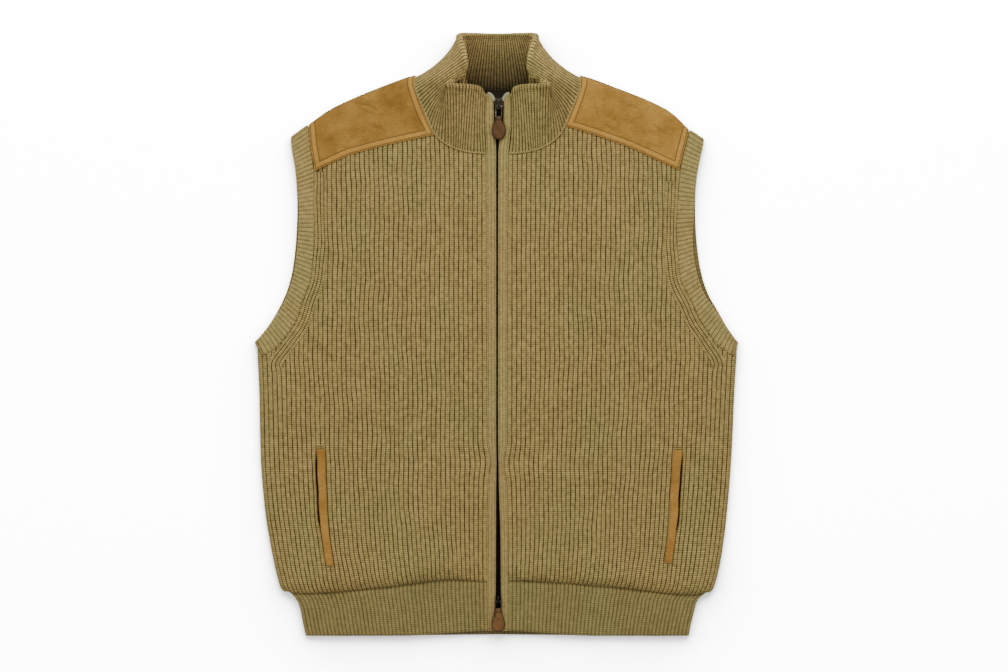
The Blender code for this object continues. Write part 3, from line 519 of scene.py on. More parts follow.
SideRow = namedtuple("SideRow", "y right left")
SIDES = rows_of(
    SideRow,
    (-27, -299.0, 300.5),
    (-69, -297.0, 298.0),
    (-144, -295.5, 294.5),
    (-207, -290.5, 289.5),
    (-257, -282.0, 283.0),
    (-300, -271.5, 273.0),
    (-322, -264.0, 264.0),
)
Point = namedtuple("Point", "x y")
HEM_SEAM = rows_of(
    Point,
    (-265, -320.5),
    (-243, -321.5),
    (-143, -314.0),
    (-54, -304.0),
    (-11, -306.5),
    (21, -305.5),
    (144, -313.0),
    (243, -323.0),
    (265, -321.5),
)
SHOULDER = {
    RIGHT: ((-101.8, 323.3), (-118, 318.5), (-167, 299.5), (-207, 281), (-235, 261.5)),
    LEFT: ((104.8, 323.0), (118, 319.5), (151, 307), (189, 292), (218, 277),
           (241, 255)),
}
# Armhole bands: seam and free edge of the front part, and how much further the back part reaches
BandRow = namedtuple("BandRow", "seam_x seam_y edge_x edge_y back_reach")
BANDS = {
    RIGHT: rows_of(
        BandRow,
        (-290.0, -25.5, -300.0, -6.5, 0.0),
        (-272.5, -12.5, -289.0, 6.5, 0.0),
        (-252.0, 15.0, -273.0, 29.0, 1.5),
        (-241.9, 43.5, -261.0, 52.0, 2.5),
        (-232.5, 71.0, -253.5, 78.5, 2.5),
        (-228.8, 112.0, -249.0, 114.5, 2.5),
        (-228.1, 158.5, -247.5, 159.5, 2.0),
        (-228.8, 203.5, -251.0, 201.0, 0.5),
        (-232.5, 234.5, -255.6, 228.5, 0.0),
        (-235.7, 259.4, -257.5, 243.5, 0.0),
    ),
    LEFT: rows_of(
        BandRow,
        (293.0, -25.0, 300.0, -6.5, 0.0),
        (275.5, -11.0, 290.5, 6.5, 0.0),
        (255.0, 18.5, 275.5, 29.0, 2.0),
        (244.4, 41.0, 261.5, 48.5, 4.5),
        (230.0, 70.0, 251.5, 75.0, 5.5),
        (226.3, 106.0, 246.0, 109.5, 5.5),
        (225.4, 149.5, 247.0, 149.5, 2.0),
        (228.8, 191.0, 250.0, 191.0, 0.0),
        (233.1, 221.0, 254.0, 216.0, 0.0),
        (240.9, 253.2, 259.4, 241.0, 0.0),
    ),
}


def smooth_through(rows, by, column):
    """A smooth function through a table: column against by, flat beyond its ends."""
    pairs = sorted((getattr(row, by), getattr(row, column)) for row in rows)
    keys, values = (np.array(part, float) for part in zip(*pairs))
    rise = np.diff(values) / np.diff(keys)
    before, after = rise[:-1], rise[1:]
    turning = before * after <= 0
    inside = np.where(turning, 0.0, 2 * before * after / np.where(turning, 1.0, before + after))
    slopes = np.concatenate((rise[:1], inside, rise[-1:]))
    dense = np.linspace(keys[0], keys[-1], 600)
    i = np.clip(np.searchsorted(keys, dense, side="right") - 1, 0, len(keys) - 2)
    width = keys[i + 1] - keys[i]
    t = (dense - keys[i]) / width
    curve = (values[i] * (1 + 2 * t) * (1 - t) ** 2 + values[i + 1] * t * t * (3 - 2 * t)
             + width * t * (1 - t) * (slopes[i] * (1 - t) - slopes[i + 1] * t))
    return lambda key: np.interp(key, dense, curve)


def points_at(goals, reach, line):
    """Points along a line, at the given distances from its start."""
    return np.stack([np.interp(goals, reach, column) for column in line.T], axis=1)


def smooth_path(points, samples):
    """Points along a rounded curve through the given ones, evenly spaced in length."""
    fine = spline_at(points, np.linspace(0, len(points) - 1, 40 * len(points)))
    reach = reach_of(fine)
    return points_at(np.linspace(0, reach[-1], samples + 1), reach, fine)


SHOULDER = {side: list(map(tuple, smooth_path(points, 12))) for side, points in SHOULDER.items()}
hem_seam_y = smooth_through(HEM_SEAM, "x", "y")
side_x = {side: smooth_through(SIDES, "y", name) for side, name in SIDE_NAMES.items()}


def band_line(side, kind, back=False):
    """The armhole band's seam or free edge, from the underarm up to the shoulder."""
    line = []
    for row in BANDS[side]:
        seam = Vector((row.seam_x, row.seam_y))
        edge = Vector((row.edge_x, row.edge_y))
        reach = row.back_reach if back else 0.0
        line.append(seam if kind == "seam" else edge + (edge - seam).normalized() * reach)
    return smooth_path(line, 80)


def armhole_outline(side):
    """The panels' armhole edge, a seam's gap away from the band."""
    line = band_line(side, "seam")
    along = unit(np.gradient(line, axis=0))
    inward = np.stack((along[:, 1], -along[:, 0]), axis=1) * (1 if side == RIGHT else -1)
    return [tuple(point) for point in (line + inward * SEAM_GAP)[::2]]


def neck_edge_of(side, first_station, last_station, samples=40):
    """The panels' neck edge: the collar's seam, moved out past the collar's own thickness and a gap."""
    t = np.linspace(first_station, last_station, samples + 1)
    if side == LEFT:
        t = LAST_STATION - t
    seam = collar_surface(t, np.zeros(len(t)))
    along = unit(collar_surface(t + 0.05, np.zeros(len(t))) - collar_surface(t - 0.05, np.zeros(len(t))))
    upward = unit(collar_surface(t, np.full(len(t), 0.1)) - seam)
    outward = unit(np.cross(upward, along))
    away = unit(np.stack((along[:, 1], -along[:, 0], np.zeros(len(t))), axis=1))
    away *= np.where((away * upward).sum(axis=1) > 0, -1.0, 1.0)[:, None]
    lean = np.linalg.norm(outward[:, :2], axis=1)
    edge = seam + away * (SEAM_GAP + lean * (COLLAR_WALL / 2 + COLLAR_RELIEF))[:, None]
    return [tuple(point) for point in edge[:, :2]]


def round_band_end(side):
    """The panels' edge round the fold at the armhole band's foot."""
    foot, above = BANDS[side][:2]
    seam, edge = Vector((foot.seam_x, foot.seam_y)), Vector((foot.edge_x, foot.edge_y))
    back_off = (seam - Vector((above.seam_x, above.seam_y))).normalized() * (BAND_WALL + 2 * SEAM_GAP)
    inner, outer = seam + back_off, edge + back_off
    at_side = inner.lerp(outer, (float(side_x[side](UNDERARM_Y)) - inner.x) / (outer.x - inner.x))
    return [tuple(at_side), tuple(inner + (seam - edge).normalized() * SEAM_GAP)]


def cut_to(piece, outline):
    """Cuts a flat piece to its pattern outline."""
    plate = bmesh.new()
    draw_out(plate, [(x, y, -12) for x, y in outline], (0, 0, 36))
    pattern = add_piece(f"{piece.name}_pattern", plate)
    step = piece.modifiers.new("Cut", "BOOLEAN")
    step.operation = "INTERSECT"
    step.solver = "MANIFOLD"
    step.object = pattern
    graph = bpy.context.evaluated_depsgraph_get()
    piece.data = bpy.data.meshes.new_from_object(piece.evaluated_get(graph))
    piece.modifiers.clear()
    bpy.data.objects.remove(pattern)


def back_side_line(side):
    """The back panel's edge from the hem up the side, round the armhole and in along the shoulder."""
    line = [(float(side_x[side](y)), y) for y in even_steps(PANEL_FOOT, UNDERARM_Y + 7, 24)]
    line += round_band_end(side) + armhole_outline(side)
    return line + [(x, y + BACK_SHOULDER_REACH) for x, y in reversed(SHOULDER[side])]


BACK_SHOULDER_REACH = 2.0
BACK_NECK = ((-104.8, 315.5), (-92, 314.0), (-60, 304), (-25, 299),
             (1.25, 298.6), (27.5, 299), (62.5, 304), (94.5, 314.0), (107.5, 315.5))
BODY_KNIT = knit_finish("body_knit", (0.475, 0.347, 0.120), (0.055, 0.034, 0.007), groove_width=0.36, row_shade=0.62,
                        split=0.3)
back_outline = [(x, float(hem_seam_y(x)) + SEAM_GAP / 2) for x in even_steps(-255, 255, 40)]
back_outline += back_side_line(LEFT) + list(reversed(BACK_NECK)) + list(reversed(back_side_line(RIGHT)))
BACK_RIBS = 104
half_back = BACK_RIBS * RIB_PITCH / 2
back_face = rib_columns(-half_back, half_back, BACK_RIBS, BACK_WALL - 0.6, 0.6)
back_under = [(x, 0.0) for x in even_steps(-half_back, half_back, 26)]
back = add_piece("back", make_slab(back_face, back_under, even_steps(-340, 340, 68)))
cut_to(back, back_outline)
lay(back, lambda x, y, z: np.stack((x, y, z), axis=1), RIB_PITCH, STITCH_ROW, cut_sides=True)
finish_cloth(back, BODY_KNIT, ["back_panel"])

# Front panels: chunky rib knit, one each side of the zip. They blouse over the hem seam, four ribs run
# along each armhole, and the ribs draw in where the zip is pinched.
RIB_RELIEF = 1.3
FACE_TOP = 4.1
FRONT_FLOOR = BACK_WALL + SEAM_GAP
FRONT_LINE = {RIGHT: -12.2, LEFT: 13.8}  # where the ribs of each front start, on average
PINCH_SPREAD = 35.0
SIDE_ROLL = 30.0
FOOT_BLEND = 120.0
PANEL_TOP = 330.0

# Each placket's outer and inner edge, and how far the zip line rises off the back
ZipRow = namedtuple("ZipRow", "y right_outer right_inner left_inner left_outer rise")
ZIP_LINE = rows_of(
    ZipRow,
    (-371, -10.0, -0.6, 5.0, 14.4, 0.0),
    (-332, -10.9, -1.1, 5.6, 14.8, 0.0),
    (-306, -11.2, -1.0, 5.4, 14.6, 0.8),
    (-290, -11.3, -0.8, 5.2, 14.5, 1.6),
    (-257, -11.3, -0.6, 5.0, 14.4, 1.2),
    (-188, -10.0, -0.3, 2.9, 12.5, 0.4),
    (-160, -6.9, 0.1, 2.4, 9.0, 0.2),
    (-132, -11.0, -0.3, 1.9, 13.1, 0.0),
    (43, -11.9, -0.3, 1.9, 13.1, 0.0),
    (226, -12.5, -0.4, 2.3, 14.4, 0.5),
    (243, -13.1, -0.9, 3.8, 16.3, 1.6),
    (268, -14.4, -3.1, 8.8, 18.6, 4.2),
    (301, -13.8, -3.8, 9.1, 18.4, 7.6),
)
# Side view of the blousing foot: along the cloth from the hem seam, where it goes over the hem
BlouseRow = namedtuple("BlouseRow", "cloth up height")
BLOUSE = rows_of(
    BlouseRow,
    (0, 0.0, -4.6),
    (3, -1.6, -2.8),
    (6, -2.4, -0.6),
    (9, -1.5, 1.9),
    (13, 1.2, 4.4),
    (18, 5.6, 6.5),
    (26, 13.2, 8.0),
    (40, 27.4, 6.8),
    (65, 55.0, 3.8),
    (100, 93.0, 1.7),
    (145, 141.0, 0.5),
    (190, 190.0, 0.0),
)
# Soft troughs and ridges in the fronts, by their ends
Crease = namedtuple("Crease", "x1 y1 x2 y2 width height")
CREASES = rows_of(
    Crease,
    (-168, 0, -182, -62, 16, -1.4),
    (-232, -40, -196, -95, 14, 1.0),
    (-120, -120, -135, -170, 18, -0.9),
    (-60, -215, -52, -262, 10, -1.3),
    (-40, -150, -14, -160, 8, -1.5),
    (-46, -176, -14, -166, 7, 1.2),
    (-210, -262, -150, -250, 12, -0.9),
    (-90, 120, -160, 60, 20, -0.7),
    (178, -55, 196, -105, 16, -1.5),
    (232, -20, 205, -70, 13, 1.0),
    (162, -255, 175, -296, 11, -1.5),
    (70, -130, 88, -190, 18, -1.0),
    (44, -152, 14, -160, 8, -1.5),
    (50, -178, 14, -167, 7, 1.2),
    (104, 90, 160, 40, 20, -0.7),
    (40, -214, 50, -250, 11, 1.1),
)

zip_rise = smooth_through(ZIP_LINE, "y", "rise")
placket_outer = {side: smooth_through(ZIP_LINE, "y", f"{name}_outer") for side, name in SIDE_NAMES.items()}
placket_inner = {side: smooth_through(ZIP_LINE, "y", f"{name}_inner") for side, name in SIDE_NAMES.items()}
blouse_up = smooth_through(BLOUSE, "cloth", "up")
blouse_height = smooth_through(BLOUSE, "cloth", "height")
PANEL_WIDTH = {side: abs(float(side_x[side](UNDERARM_Y)) - FRONT_LINE[side]) for side in SIDE_NAMES}


def off_line(x, y, line):
    """How far points are from a line of points."""
    nearest = np.full(np.shape(x), 1e9)
    for (ax, ay), (bx, by) in zip(line, line[1:]):
        dx, dy = bx - ax, by - ay
        t = np.clip(((x - ax) * dx + (y - ay) * dy) / (dx * dx + dy * dy), 0, 1)
        nearest = np.minimum(nearest, np.hypot(x - ax - t * dx, y - ay - t * dy))
    return nearest


def crease_height(x, y, crease):
    away = off_line(x, y, ((crease.x1, crease.y1), (crease.x2, crease.y2)))
    return crease.height * np.exp(-(away / crease.width) ** 2)


def front_surface(side, x, y):
    """The crests of a front's ribs: x is the distance from the zip line, y the height in the pattern."""
    width = np.abs(side_x[side](y) - FRONT_LINE[side])
    scale = np.where(y < UNDERARM_Y, width / PANEL_WIDTH[side], 1.0)
    middle = np.sin(np.clip(x / PANEL_WIDTH[side], 0, 1) * math.pi)
    wander = 0.8 * np.sin(y / 37 + x / 61 + side) + 0.5 * np.sin(y / 15.5 - x / 23) + 0.35 * np.sin(y / 71 + x / 11)
    wander += 0.32 * np.sin(y / 10.5 + 1.9 * np.sin(x / 13)) + 0.2 * np.sin(y / 6.1 - 1.4 * np.sin(x / 8.5 + 2))
    plan_x = FRONT_LINE[side] + side * (x * scale + wander * middle)
    cloth = y - PANEL_FOOT
    foot_share = ease(1 - cloth / FOOT_BLEND)
    plan_y = PANEL_FOOT + np.where(cloth < BLOUSE[-1].cloth, blouse_up(cloth), cloth)
    plan_y += (hem_seam_y(plan_x) + SEAM_GAP / 2 - PANEL_FOOT) * foot_share
    corner = ease(1 - np.abs(side_x[side](y) - plan_x) / 26) * fall_off(cloth, 20)
    plan_x = plan_x - side * 7.0 * corner
    plan_y = plan_y + 3.0 * corner
    pinch = placket_outer[side](plan_y) + side * SEAM_GAP - FRONT_LINE[side]
    plan_x = plan_x + pinch * np.exp(-x / PINCH_SPREAD)
    from_side = np.abs(side_x[side](y) - plan_x)
    below_arm = ease((UNDERARM_Y + 12 - y) / 24)
    over_side = 1 - below_arm * (1 - round_off(from_side, SIDE_ROLL))
    near_zip = 0.4 + 0.6 * ease(np.abs(plan_x - FRONT_LINE[side]) / 40)
    puffs = 1 + 0.16 * np.sin(plan_x / 19 + 0.6 * np.sin(plan_x / 31)) + 0.1 * np.sin(plan_x / 8.5)
    height = np.where(cloth < BLOUSE[-1].cloth, blouse_height(cloth), 0.0)
    height = np.where(height > 0, height * over_side * near_zip * puffs, height)
    height -= below_arm * 3.6 * (1 - round_off(from_side, 9))
    height -= 3.0 * fall_off(off_line(plan_x, plan_y, SHOULDER[side]), 10) * (y > 180)
    for crease in CREASES:
        if crease.x1 * side > 0:
            height = height + crease_height(plan_x, plan_y, crease)
    return np.stack((plan_x, plan_y, FRONT_FLOOR + FACE_TOP + height), axis=-1)


def front_place(side, x, y, z):
    """Lays a point of a flat front, z being its height in the wall."""
    crest = front_surface(side, x, y)
    across = front_surface(side, x + 0.4, y) - front_surface(side, x - 0.4, y)
    along = front_surface(side, x, y + 0.4) - front_surface(side, x, y - 0.4)
    outward = unit(np.cross(across, along)) * side
    depth = np.where(z < FACE_TOP, (FACE_TOP - z) * (1 - 0.45 * ease(1 - (y - PANEL_FOOT) / 22)), FACE_TOP - z)
    point = crest - outward * depth[:, None]
    point[:, 2] = np.maximum(point[:, 2], FRONT_FLOOR - 0.2)
    return point


def pattern_point(side, point):
    """A place in the plan, as a point of the flat front."""
    return side * (point[0] - FRONT_LINE[side]), point[1]


def armhole_rib_path(side):
    """Outer edge of the ribs that run up beside the armhole, on the flat front."""
    seam = [Vector(pattern_point(side, (row.seam_x, row.seam_y))) for row in BANDS[side]]
    start_x = PANEL_WIDTH[side] * (1 - 2 / PANEL_RIBS)
    path = [Vector((start_x, -134)), Vector((start_x, -90)), Vector((start_x, -52)), Vector((start_x - 1.6, -33))]
    for k, point in enumerate(seam[1:-2]):
        along = (seam[k + 2] - seam[k]).normalized()
        path.append(point + Vector((-along.y, along.x)) * OFF_SEAM[min(k, len(OFF_SEAM) - 1)])
    return smooth_path(path, 120)


PANEL_RIBS = 49
PANEL_NECK = (6.9, 0.1)  # the collar's stations where the fronts' neck edge starts and ends
# Near black, as painted shade inside each pocket's slit.
POCKET_MOUTH_SHADE = Finish("pocket_mouth_shade", 0.9, Specular_IOR_Level=0.05)
POCKET_MOUTH_SHADE.paint(POCKET_MOUTH_SHADE.mix(POCKET_MOUTH_SHADE.noise(500.0), (0.012, 0.008, 0.004), (0.035, 0.022, 0.010)))
OFF_SEAM = (1.9, 1.2, 0.8, 0.6, 0.5)  # how far the ribs along the armhole start from its seam, going up
SIDE_RIBS = 4
SIDE_RIBS_DRAWN_IN = 0.72  # how narrow those ribs are where they slant
SIDE_RIBS_FOOT = -130.0
SIDE_RIBS_DEPTH = 2.0  # how far the upright ribs sink under them
FAR = 99.0
WELT_TROUGH = 2.4
Welt = namedtuple("Welt", "share top bottom width")
WELTS = {RIGHT: Welt(0.735, -142, -275.5, 10.5), LEFT: Welt(0.757, -143, -271.5, 10.5)}
MOUTH_LENGTH = 101.0
MOUTH_WIDTH = 3.2
foot_rows = [PANEL_FOOT + step for step in (0, 1, 2, 3, 4, 5, 6, 7, 8, 9, 10, 11.5, 13, 14.5, 16, 18, 20, 22.5)]
front_rows = foot_rows + even_steps(PANEL_FOOT + 25, PANEL_TOP, 168)
for side, name in SIDE_NAMES.items():
    pitch = PANEL_WIDTH[side] / PANEL_RIBS
    face = [(x, FACE_TOP - 0.15 if x > PANEL_WIDTH[side] - pitch / 2 else z)
            for x, z in rib_columns(0, PANEL_WIDTH[side], PANEL_RIBS, FACE_TOP - RIB_RELIEF, RIB_RELIEF)]
    under = [(x, 0.0) for x in even_steps(0, PANEL_WIDTH[side], 24)]
    panel = add_piece(f"front_{name}", make_slab(face, under, front_rows))
    outline = [(-20, PANEL_FOOT - 10), (PANEL_WIDTH[side] + 30, PANEL_FOOT - 10)]
    outline += [pattern_point(side, point) for point in round_band_end(side) + armhole_outline(side)]
    outline += [pattern_point(side, point) for point in reversed(SHOULDER[side])]
    neck = neck_edge_of(side, *PANEL_NECK)
    outline += [pattern_point(side, point) for point in neck] + [(-20, neck[-1][1])]
    cut_to(panel, outline)

    # The upright ribs end under those along the armhole, and dip into the pocket's mouth
    path = armhole_rib_path(side)
    path_slope = unit(np.gradient(path, axis=0))
    path_in = np.stack((-path_slope[:, 1], path_slope[:, 0]), axis=1)
    reach = reach_of(path)
    drawn_in = 1 - (1 - SIDE_RIBS_DRAWN_IN) * ease((reach - 78) / 40)
    middle_line = path + path_in * (SIDE_RIBS * pitch / 2 * drawn_in)[:, None]
    points = points_of(panel.data)
    x, y = points[:, 0], points[:, 1]
    near = (x > 150) & (y > SIDE_RIBS_FOOT - 2)
    away = np.full(len(points), FAR)
    away[near] = off_line(x[near], y[near], middle_line[::2])
    half_strip = SIDE_RIBS * pitch / 2 * (1 - (1 - SIDE_RIBS_DRAWN_IN) * ease((y + 60) / 40))
    sunk = ease((half_strip + 0.2 - away) / 1.6) * ease((y - SIDE_RIBS_FOOT) / 14)
    welt = WELTS[side]
    mouth = welt.share * PANEL_WIDTH[side] + welt.width / 2
    open_width = MOUTH_WIDTH / 2 * ease((welt.top - 1 - y) / 14) * ease((y - welt.top + MOUTH_LENGTH) / 16)
    mouth_off = np.abs(x - mouth - MOUTH_WIDTH / 2 + 0.6)
    in_mouth = ease((open_width + 0.5 - mouth_off) / 0.6) * (open_width > 0.2)
    outer_points = points[:, 2] > 1
    points[outer_points, 2] -= (SIDE_RIBS_DEPTH * sunk + WELT_TROUGH * in_mouth)[outer_points]
    set_points(panel.data, points)
    # Faces deep in the pocket's mouth take the near-black material, as painted shade.
    shaded_mouth = ((in_mouth > 0.6) & outer_points)[values_of(panel.data.loops, "vertex_index", kind=np.int32)]
    starts = values_of(panel.data.polygons, "loop_start", kind=np.int32)
    panel.data.polygons.foreach_set("material_index", np.minimum.reduceat(shaded_mouth.astype(np.int32), starts))
    lay(panel, partial(front_place, side), pitch, STITCH_ROW, plain_from=PANEL_WIDTH[side] - pitch / 2,
        cut_sides=True)

    strip_face = rib_columns(0, SIDE_RIBS * pitch, SIDE_RIBS, FACE_TOP - RIB_RELIEF + 0.1, RIB_RELIEF)
    strip_under = [(x, 1.2) for x in even_steps(0, SIDE_RIBS * pitch, 3)]
    strip = add_piece(f"armhole_ribs_{name}", make_slab(strip_face, strip_under, even_steps(0, reach[-1], 120)))

    def strip_place(x, y, z, side=side, path=path, path_in=path_in, reach=reach, drawn_in=drawn_in):
        inward = points_at(y, reach, path_in) * (x * np.interp(y, reach, drawn_in))[:, None]
        flat = points_at(y, reach, path) + inward
        return front_place(side, flat[:, 0], flat[:, 1], z - 0.6 * ease(1 - y / 12))

    lay(strip, strip_place, pitch, STITCH_ROW)
    joined = bmesh.new()
    joined.from_mesh(panel.data)
    joined.from_mesh(strip.data)
    joined.to_mesh(panel.data)
    joined.free()
    bpy.data.objects.remove(strip)
    finish_cloth(panel, (BODY_KNIT, POCKET_MOUTH_SHADE.material), [f"front_panel_{name}"])

# Hem band: firmer rib knit below the hem seam, the front in two halves and the back in one. The front
# edge lifts towards the zip and shows the back hem below it.
HemRow = namedtuple("HemRow", "y right left")
HEM_SIDES = rows_of(
    HemRow,
    (-322, -252, 255),
    (-332, -249, 250.5),
    (-344, -245.5, 248),
    (-357, -243, 244.5),
    (-369, -240.5, 242),
    (-377, -238.5, 240.5),
)
HEM_PITCH = 4.9
HEM_WALL = 3.2
HEM_RELIEF = 0.95
HEM_FOOT_SIDE, HEM_FOOT_ZIP = -376.8, -370.5
HEM_LIFT_WIDTH = 130.0
HEM_MIDDLE_Y = -345.0
HEM_FLARE = 8.0
HEM_HEIGHT = 60.0
hem_side_x = {side: smooth_through(HEM_SIDES, "y", name) for side, name in SIDE_NAMES.items()}
HEM_KNIT = knit_finish("hem_knit", (0.302, 0.238, 0.088), (0.18, 0.135, 0.043), groove_width=0.6, row_shade=0.2,
                       mottle=0.3)


def hem_foot(x):
    """The front hem's lower edge."""
    return HEM_FOOT_ZIP + (HEM_FOOT_SIDE - HEM_FOOT_ZIP) * ease(np.abs(x - COLLAR_MIDDLE_X) / HEM_LIFT_WIDTH)


def hem_place(side, across, down, z):
    """across runs from the zip to the side edge, down from the seam to the lower edge."""
    down = -down
    inner = float(placket_outer[side](HEM_MIDDLE_Y)) + side * SEAM_GAP
    x = inner + (float(hem_side_x[side](HEM_SIDES[0].y)) - inner) * across
    top = hem_seam_y(x) - SEAM_GAP / 2
    y = top + (hem_foot(x) - top) * down
    inner = placket_outer[side](y) + side * SEAM_GAP
    flare = HEM_FLARE * fall_off(down, 0.3) * across ** 6
    x = inner + (hem_side_x[side](y) - inner) * across + side * flare
    rounded = round_off(np.minimum((1 - down) * HEM_HEIGHT, (1 - across) * 240), 3.2)
    sunk = 2.2 * ease(1 - down * HEM_HEIGHT / 7)
    wave = 0.5 * np.sin(x / 17) * np.sin(x / 41 + 1) * ease(down * 2)
    outer_height = 0.6 + (z - 0.6 - sunk + wave) * rounded
    return np.stack((x, y, FRONT_FLOOR + np.where(z > 1, outer_height, 0.0)), axis=1)


hem_rows = [0.0, 0.03, 0.06, 0.09, 0.13] + even_steps(0.17, 0.92, 14) + [0.94, 0.955, 0.97, 0.982, 0.992, 1.0]
for side, name in SIDE_NAMES.items():
    width = abs(float(hem_side_x[side](HEM_MIDDLE_Y) - placket_outer[side](HEM_MIDDLE_Y)))
    ribs = round(width / HEM_PITCH)
    face = rib_columns(0, 1, ribs, HEM_WALL, HEM_RELIEF)
    under = [(x, 0.0) for x in even_steps(0, 1, 16)]
    hem = add_piece(f"hem_{name}", make_slab(face, under, [-row for row in reversed(hem_rows)]))
    lay(hem, partial(hem_place, side), 1 / ribs, STITCH_ROW / HEM_HEIGHT)
    finish_cloth(hem, HEM_KNIT, [f"hem_front_{name}"])

HEM_BACK_FOOT = ((240.5, -376.5), (200, -377.5), (100, -376.5), (0, -375.5), (-100, -376.5), (-200, -377.5),
                 (-238.5, -376.5))
side_ys = [row.y for row in HEM_SIDES[1:-1]]
back_hem_outline = [(x, float(hem_seam_y(x)) - SEAM_GAP / 2)
                    for x in even_steps(HEM_SIDES[0].right, HEM_SIDES[0].left, 24)]
back_hem_outline += [(float(hem_side_x[LEFT](y)), y) for y in side_ys] + list(HEM_BACK_FOOT)
back_hem_outline += [(float(hem_side_x[RIGHT](y)), y) for y in reversed(side_ys)]
BACK_HEM_RIBS = 106
half_hem = BACK_HEM_RIBS * HEM_PITCH / 2
back_hem = add_piece("back_hem", make_slab(
    rib_columns(-half_hem, half_hem, BACK_HEM_RIBS, BACK_WALL - 0.8, 0.8),
    [(x, 0.0) for x in even_steps(-half_hem, half_hem, 20)],
    even_steps(-384, -372, 12) + even_steps(-370, -300, 14)))
cut_to(back_hem, back_hem_outline)


def back_hem_place(x, y, z):
    """Rounds the lower edge over."""
    rounded = round_off(y - np.interp(x, *zip(*reversed(HEM_BACK_FOOT))), 3.0, 0.02)
    return np.stack((x, y, z * np.where(z > 1, rounded, 1.0)), axis=1)


# The back hem is a darker copy of the hem knit, as painted shade below the front hem.
BACK_HEM_SHADED_KNIT = knit_finish("back_hem_shaded_knit", (0.20, 0.16, 0.07), (0.10, 0.076, 0.030), groove_width=0.5, row_shade=0.2,
                            mottle=0.3)
lay(back_hem, back_hem_place, HEM_PITCH, STITCH_ROW)
finish_cloth(back_hem, BACK_HEM_SHADED_KNIT, ["hem_back"])

# Shoulder patches: tan suede with its edge folded under, sewn over each shoulder with two rows of
# thread. The suede has a short nap, fine wrinkles and a paler border where the fold lies. Its creases
# and wrinkles are painted darker, as painted shade.
SUEDE = 1.2
PATCH_BORDER = 8.5
BORDER_RELIEF = 0.5
PATCH_NECK = {RIGHT: (6.5, 4.0), LEFT: (6.5, 4.4)}
PATCHES = {
    RIGHT: ((-135.6, 237.5), (-184, 224.5), (-226.6, 205), (-231.8, 233)),
    LEFT: ((99.5, 257), (134.5, 246), (168, 233.5), (228.8, 206), (234.6, 229.5)),
}
PATCH_GRID = 1.25
PATCH_CREASES = {
    RIGHT: rows_of(Crease, (-176, 290, -160, 287, 1.4, -1.1), (-160, 287, -150, 281, 1.3, -0.9),
            (-172, 296, -150, 291, 2.2, 0.8), (-166, 280, -156, 276, 1.6, -0.6),
            (-158, 262, -140, 255, 2.0, -0.5), (-190, 236, -172, 240, 2.0, 0.6),
            (-140, 296, -128, 286, 2.0, -0.4)),
    LEFT: rows_of(Crease, (136, 262, 150, 256, 1.7, -0.7), (158, 290, 176, 284, 2.0, -0.6),
           (180, 247, 200, 238, 2.0, 0.7), (122, 288, 128, 270, 1.2, -0.6),
           (196, 262, 214, 250, 1.2, -0.6)),
}
SEAM_ROWS = (1.7, 7.9)
STITCH_STEP = 2.7
STITCH_SIZE = (2.2, 0.6, 0.6)


def suede_finish(name, pale, deep, border=None):
    """Matt leather with a short nap. A border colour is that of the fold along the sewn edges. Creases and wrinkles are
    painted darker, as painted shade.
    """
    finish = Finish(name, 0.85, Sheen_Weight=0.12, Sheen_Roughness=0.4, Specular_IOR_Level=0.12)
    nap = finish.noise(900.0)
    cloud = finish.noise(34.0, 5.0, 0.62)
    wrinkle = finish.noise(95.0, 4.0, 0.55, finish.stretched((1.0, 2.6, 1.0), turn=(0, 0, 0.4)))
    crease = 1.0 - abs(wrinkle - 0.5).ramp(0.0, 0.05)

    def darker(share):
        return tuple(share * value for value in deep)

    nap_tone_and_shade = finish.mix(nap * 0.35, finish.mix(cloud.ramp(0.24, 0.70), deep, pale), deep)
    if border:
        # Painted shade in the creases marked on the mesh.
        nap_tone_and_shade = finish.mix(finish.mark("crease_shade") * 0.4, nap_tone_and_shade, darker(0.45))
        from_edge = finish.mark("from_edge")
        on_border = 1.0 - from_edge.ramp(PATCH_BORDER - 1.8, PATCH_BORDER + 0.6)
        nap_tone_and_shade = finish.mix(on_border * 0.55, nap_tone_and_shade, border)
        for row in SEAM_ROWS:
            nap_tone_and_shade = finish.mix((1.0 - abs(from_edge - row).ramp(0.4, 1.1)) * 0.7, nap_tone_and_shade, darker(0.42))
    # Painted shade along the fine wrinkles.
    finish.paint(finish.mix(crease * 0.14, nap_tone_and_shade, darker(0.5)))
    finish.bump((nap * 0.25 + cloud * 1.2) - crease * 0.5, 0.0006, 0.7)
    return finish.material


# The right patch is a little darker and the left one a little lighter.
PATCH_TONE = {RIGHT: 0.92, LEFT: 1.08}
SUEDE_TAN = {side: suede_finish(f"tan_suede_{name}", tuple(PATCH_TONE[side] * c for c in (0.455, 0.245, 0.052)),
                                tuple(PATCH_TONE[side] * c for c in (0.27, 0.132, 0.022)), (0.60, 0.322, 0.069))
             for side, name in SIDE_NAMES.items()}
THREAD = Finish("tan_thread", 0.6)
twist = THREAD.node("TexWave", (THREAD.place, 900.0, 1.0), out=1)
THREAD.paint(THREAD.mix(twist, (0.20, 0.11, 0.035), (0.36, 0.22, 0.08)))


def along_outline(line, spacing):
    """Places and directions at even steps along a line of points."""
    line = np.array(line, float)
    reach = reach_of(line)
    goals = np.arange(spacing / 2, reach[-1], spacing)
    ahead = points_at(goals + 0.3, reach, line) - points_at(goals - 0.3, reach, line)
    return points_at(goals, reach, line), unit(ahead)


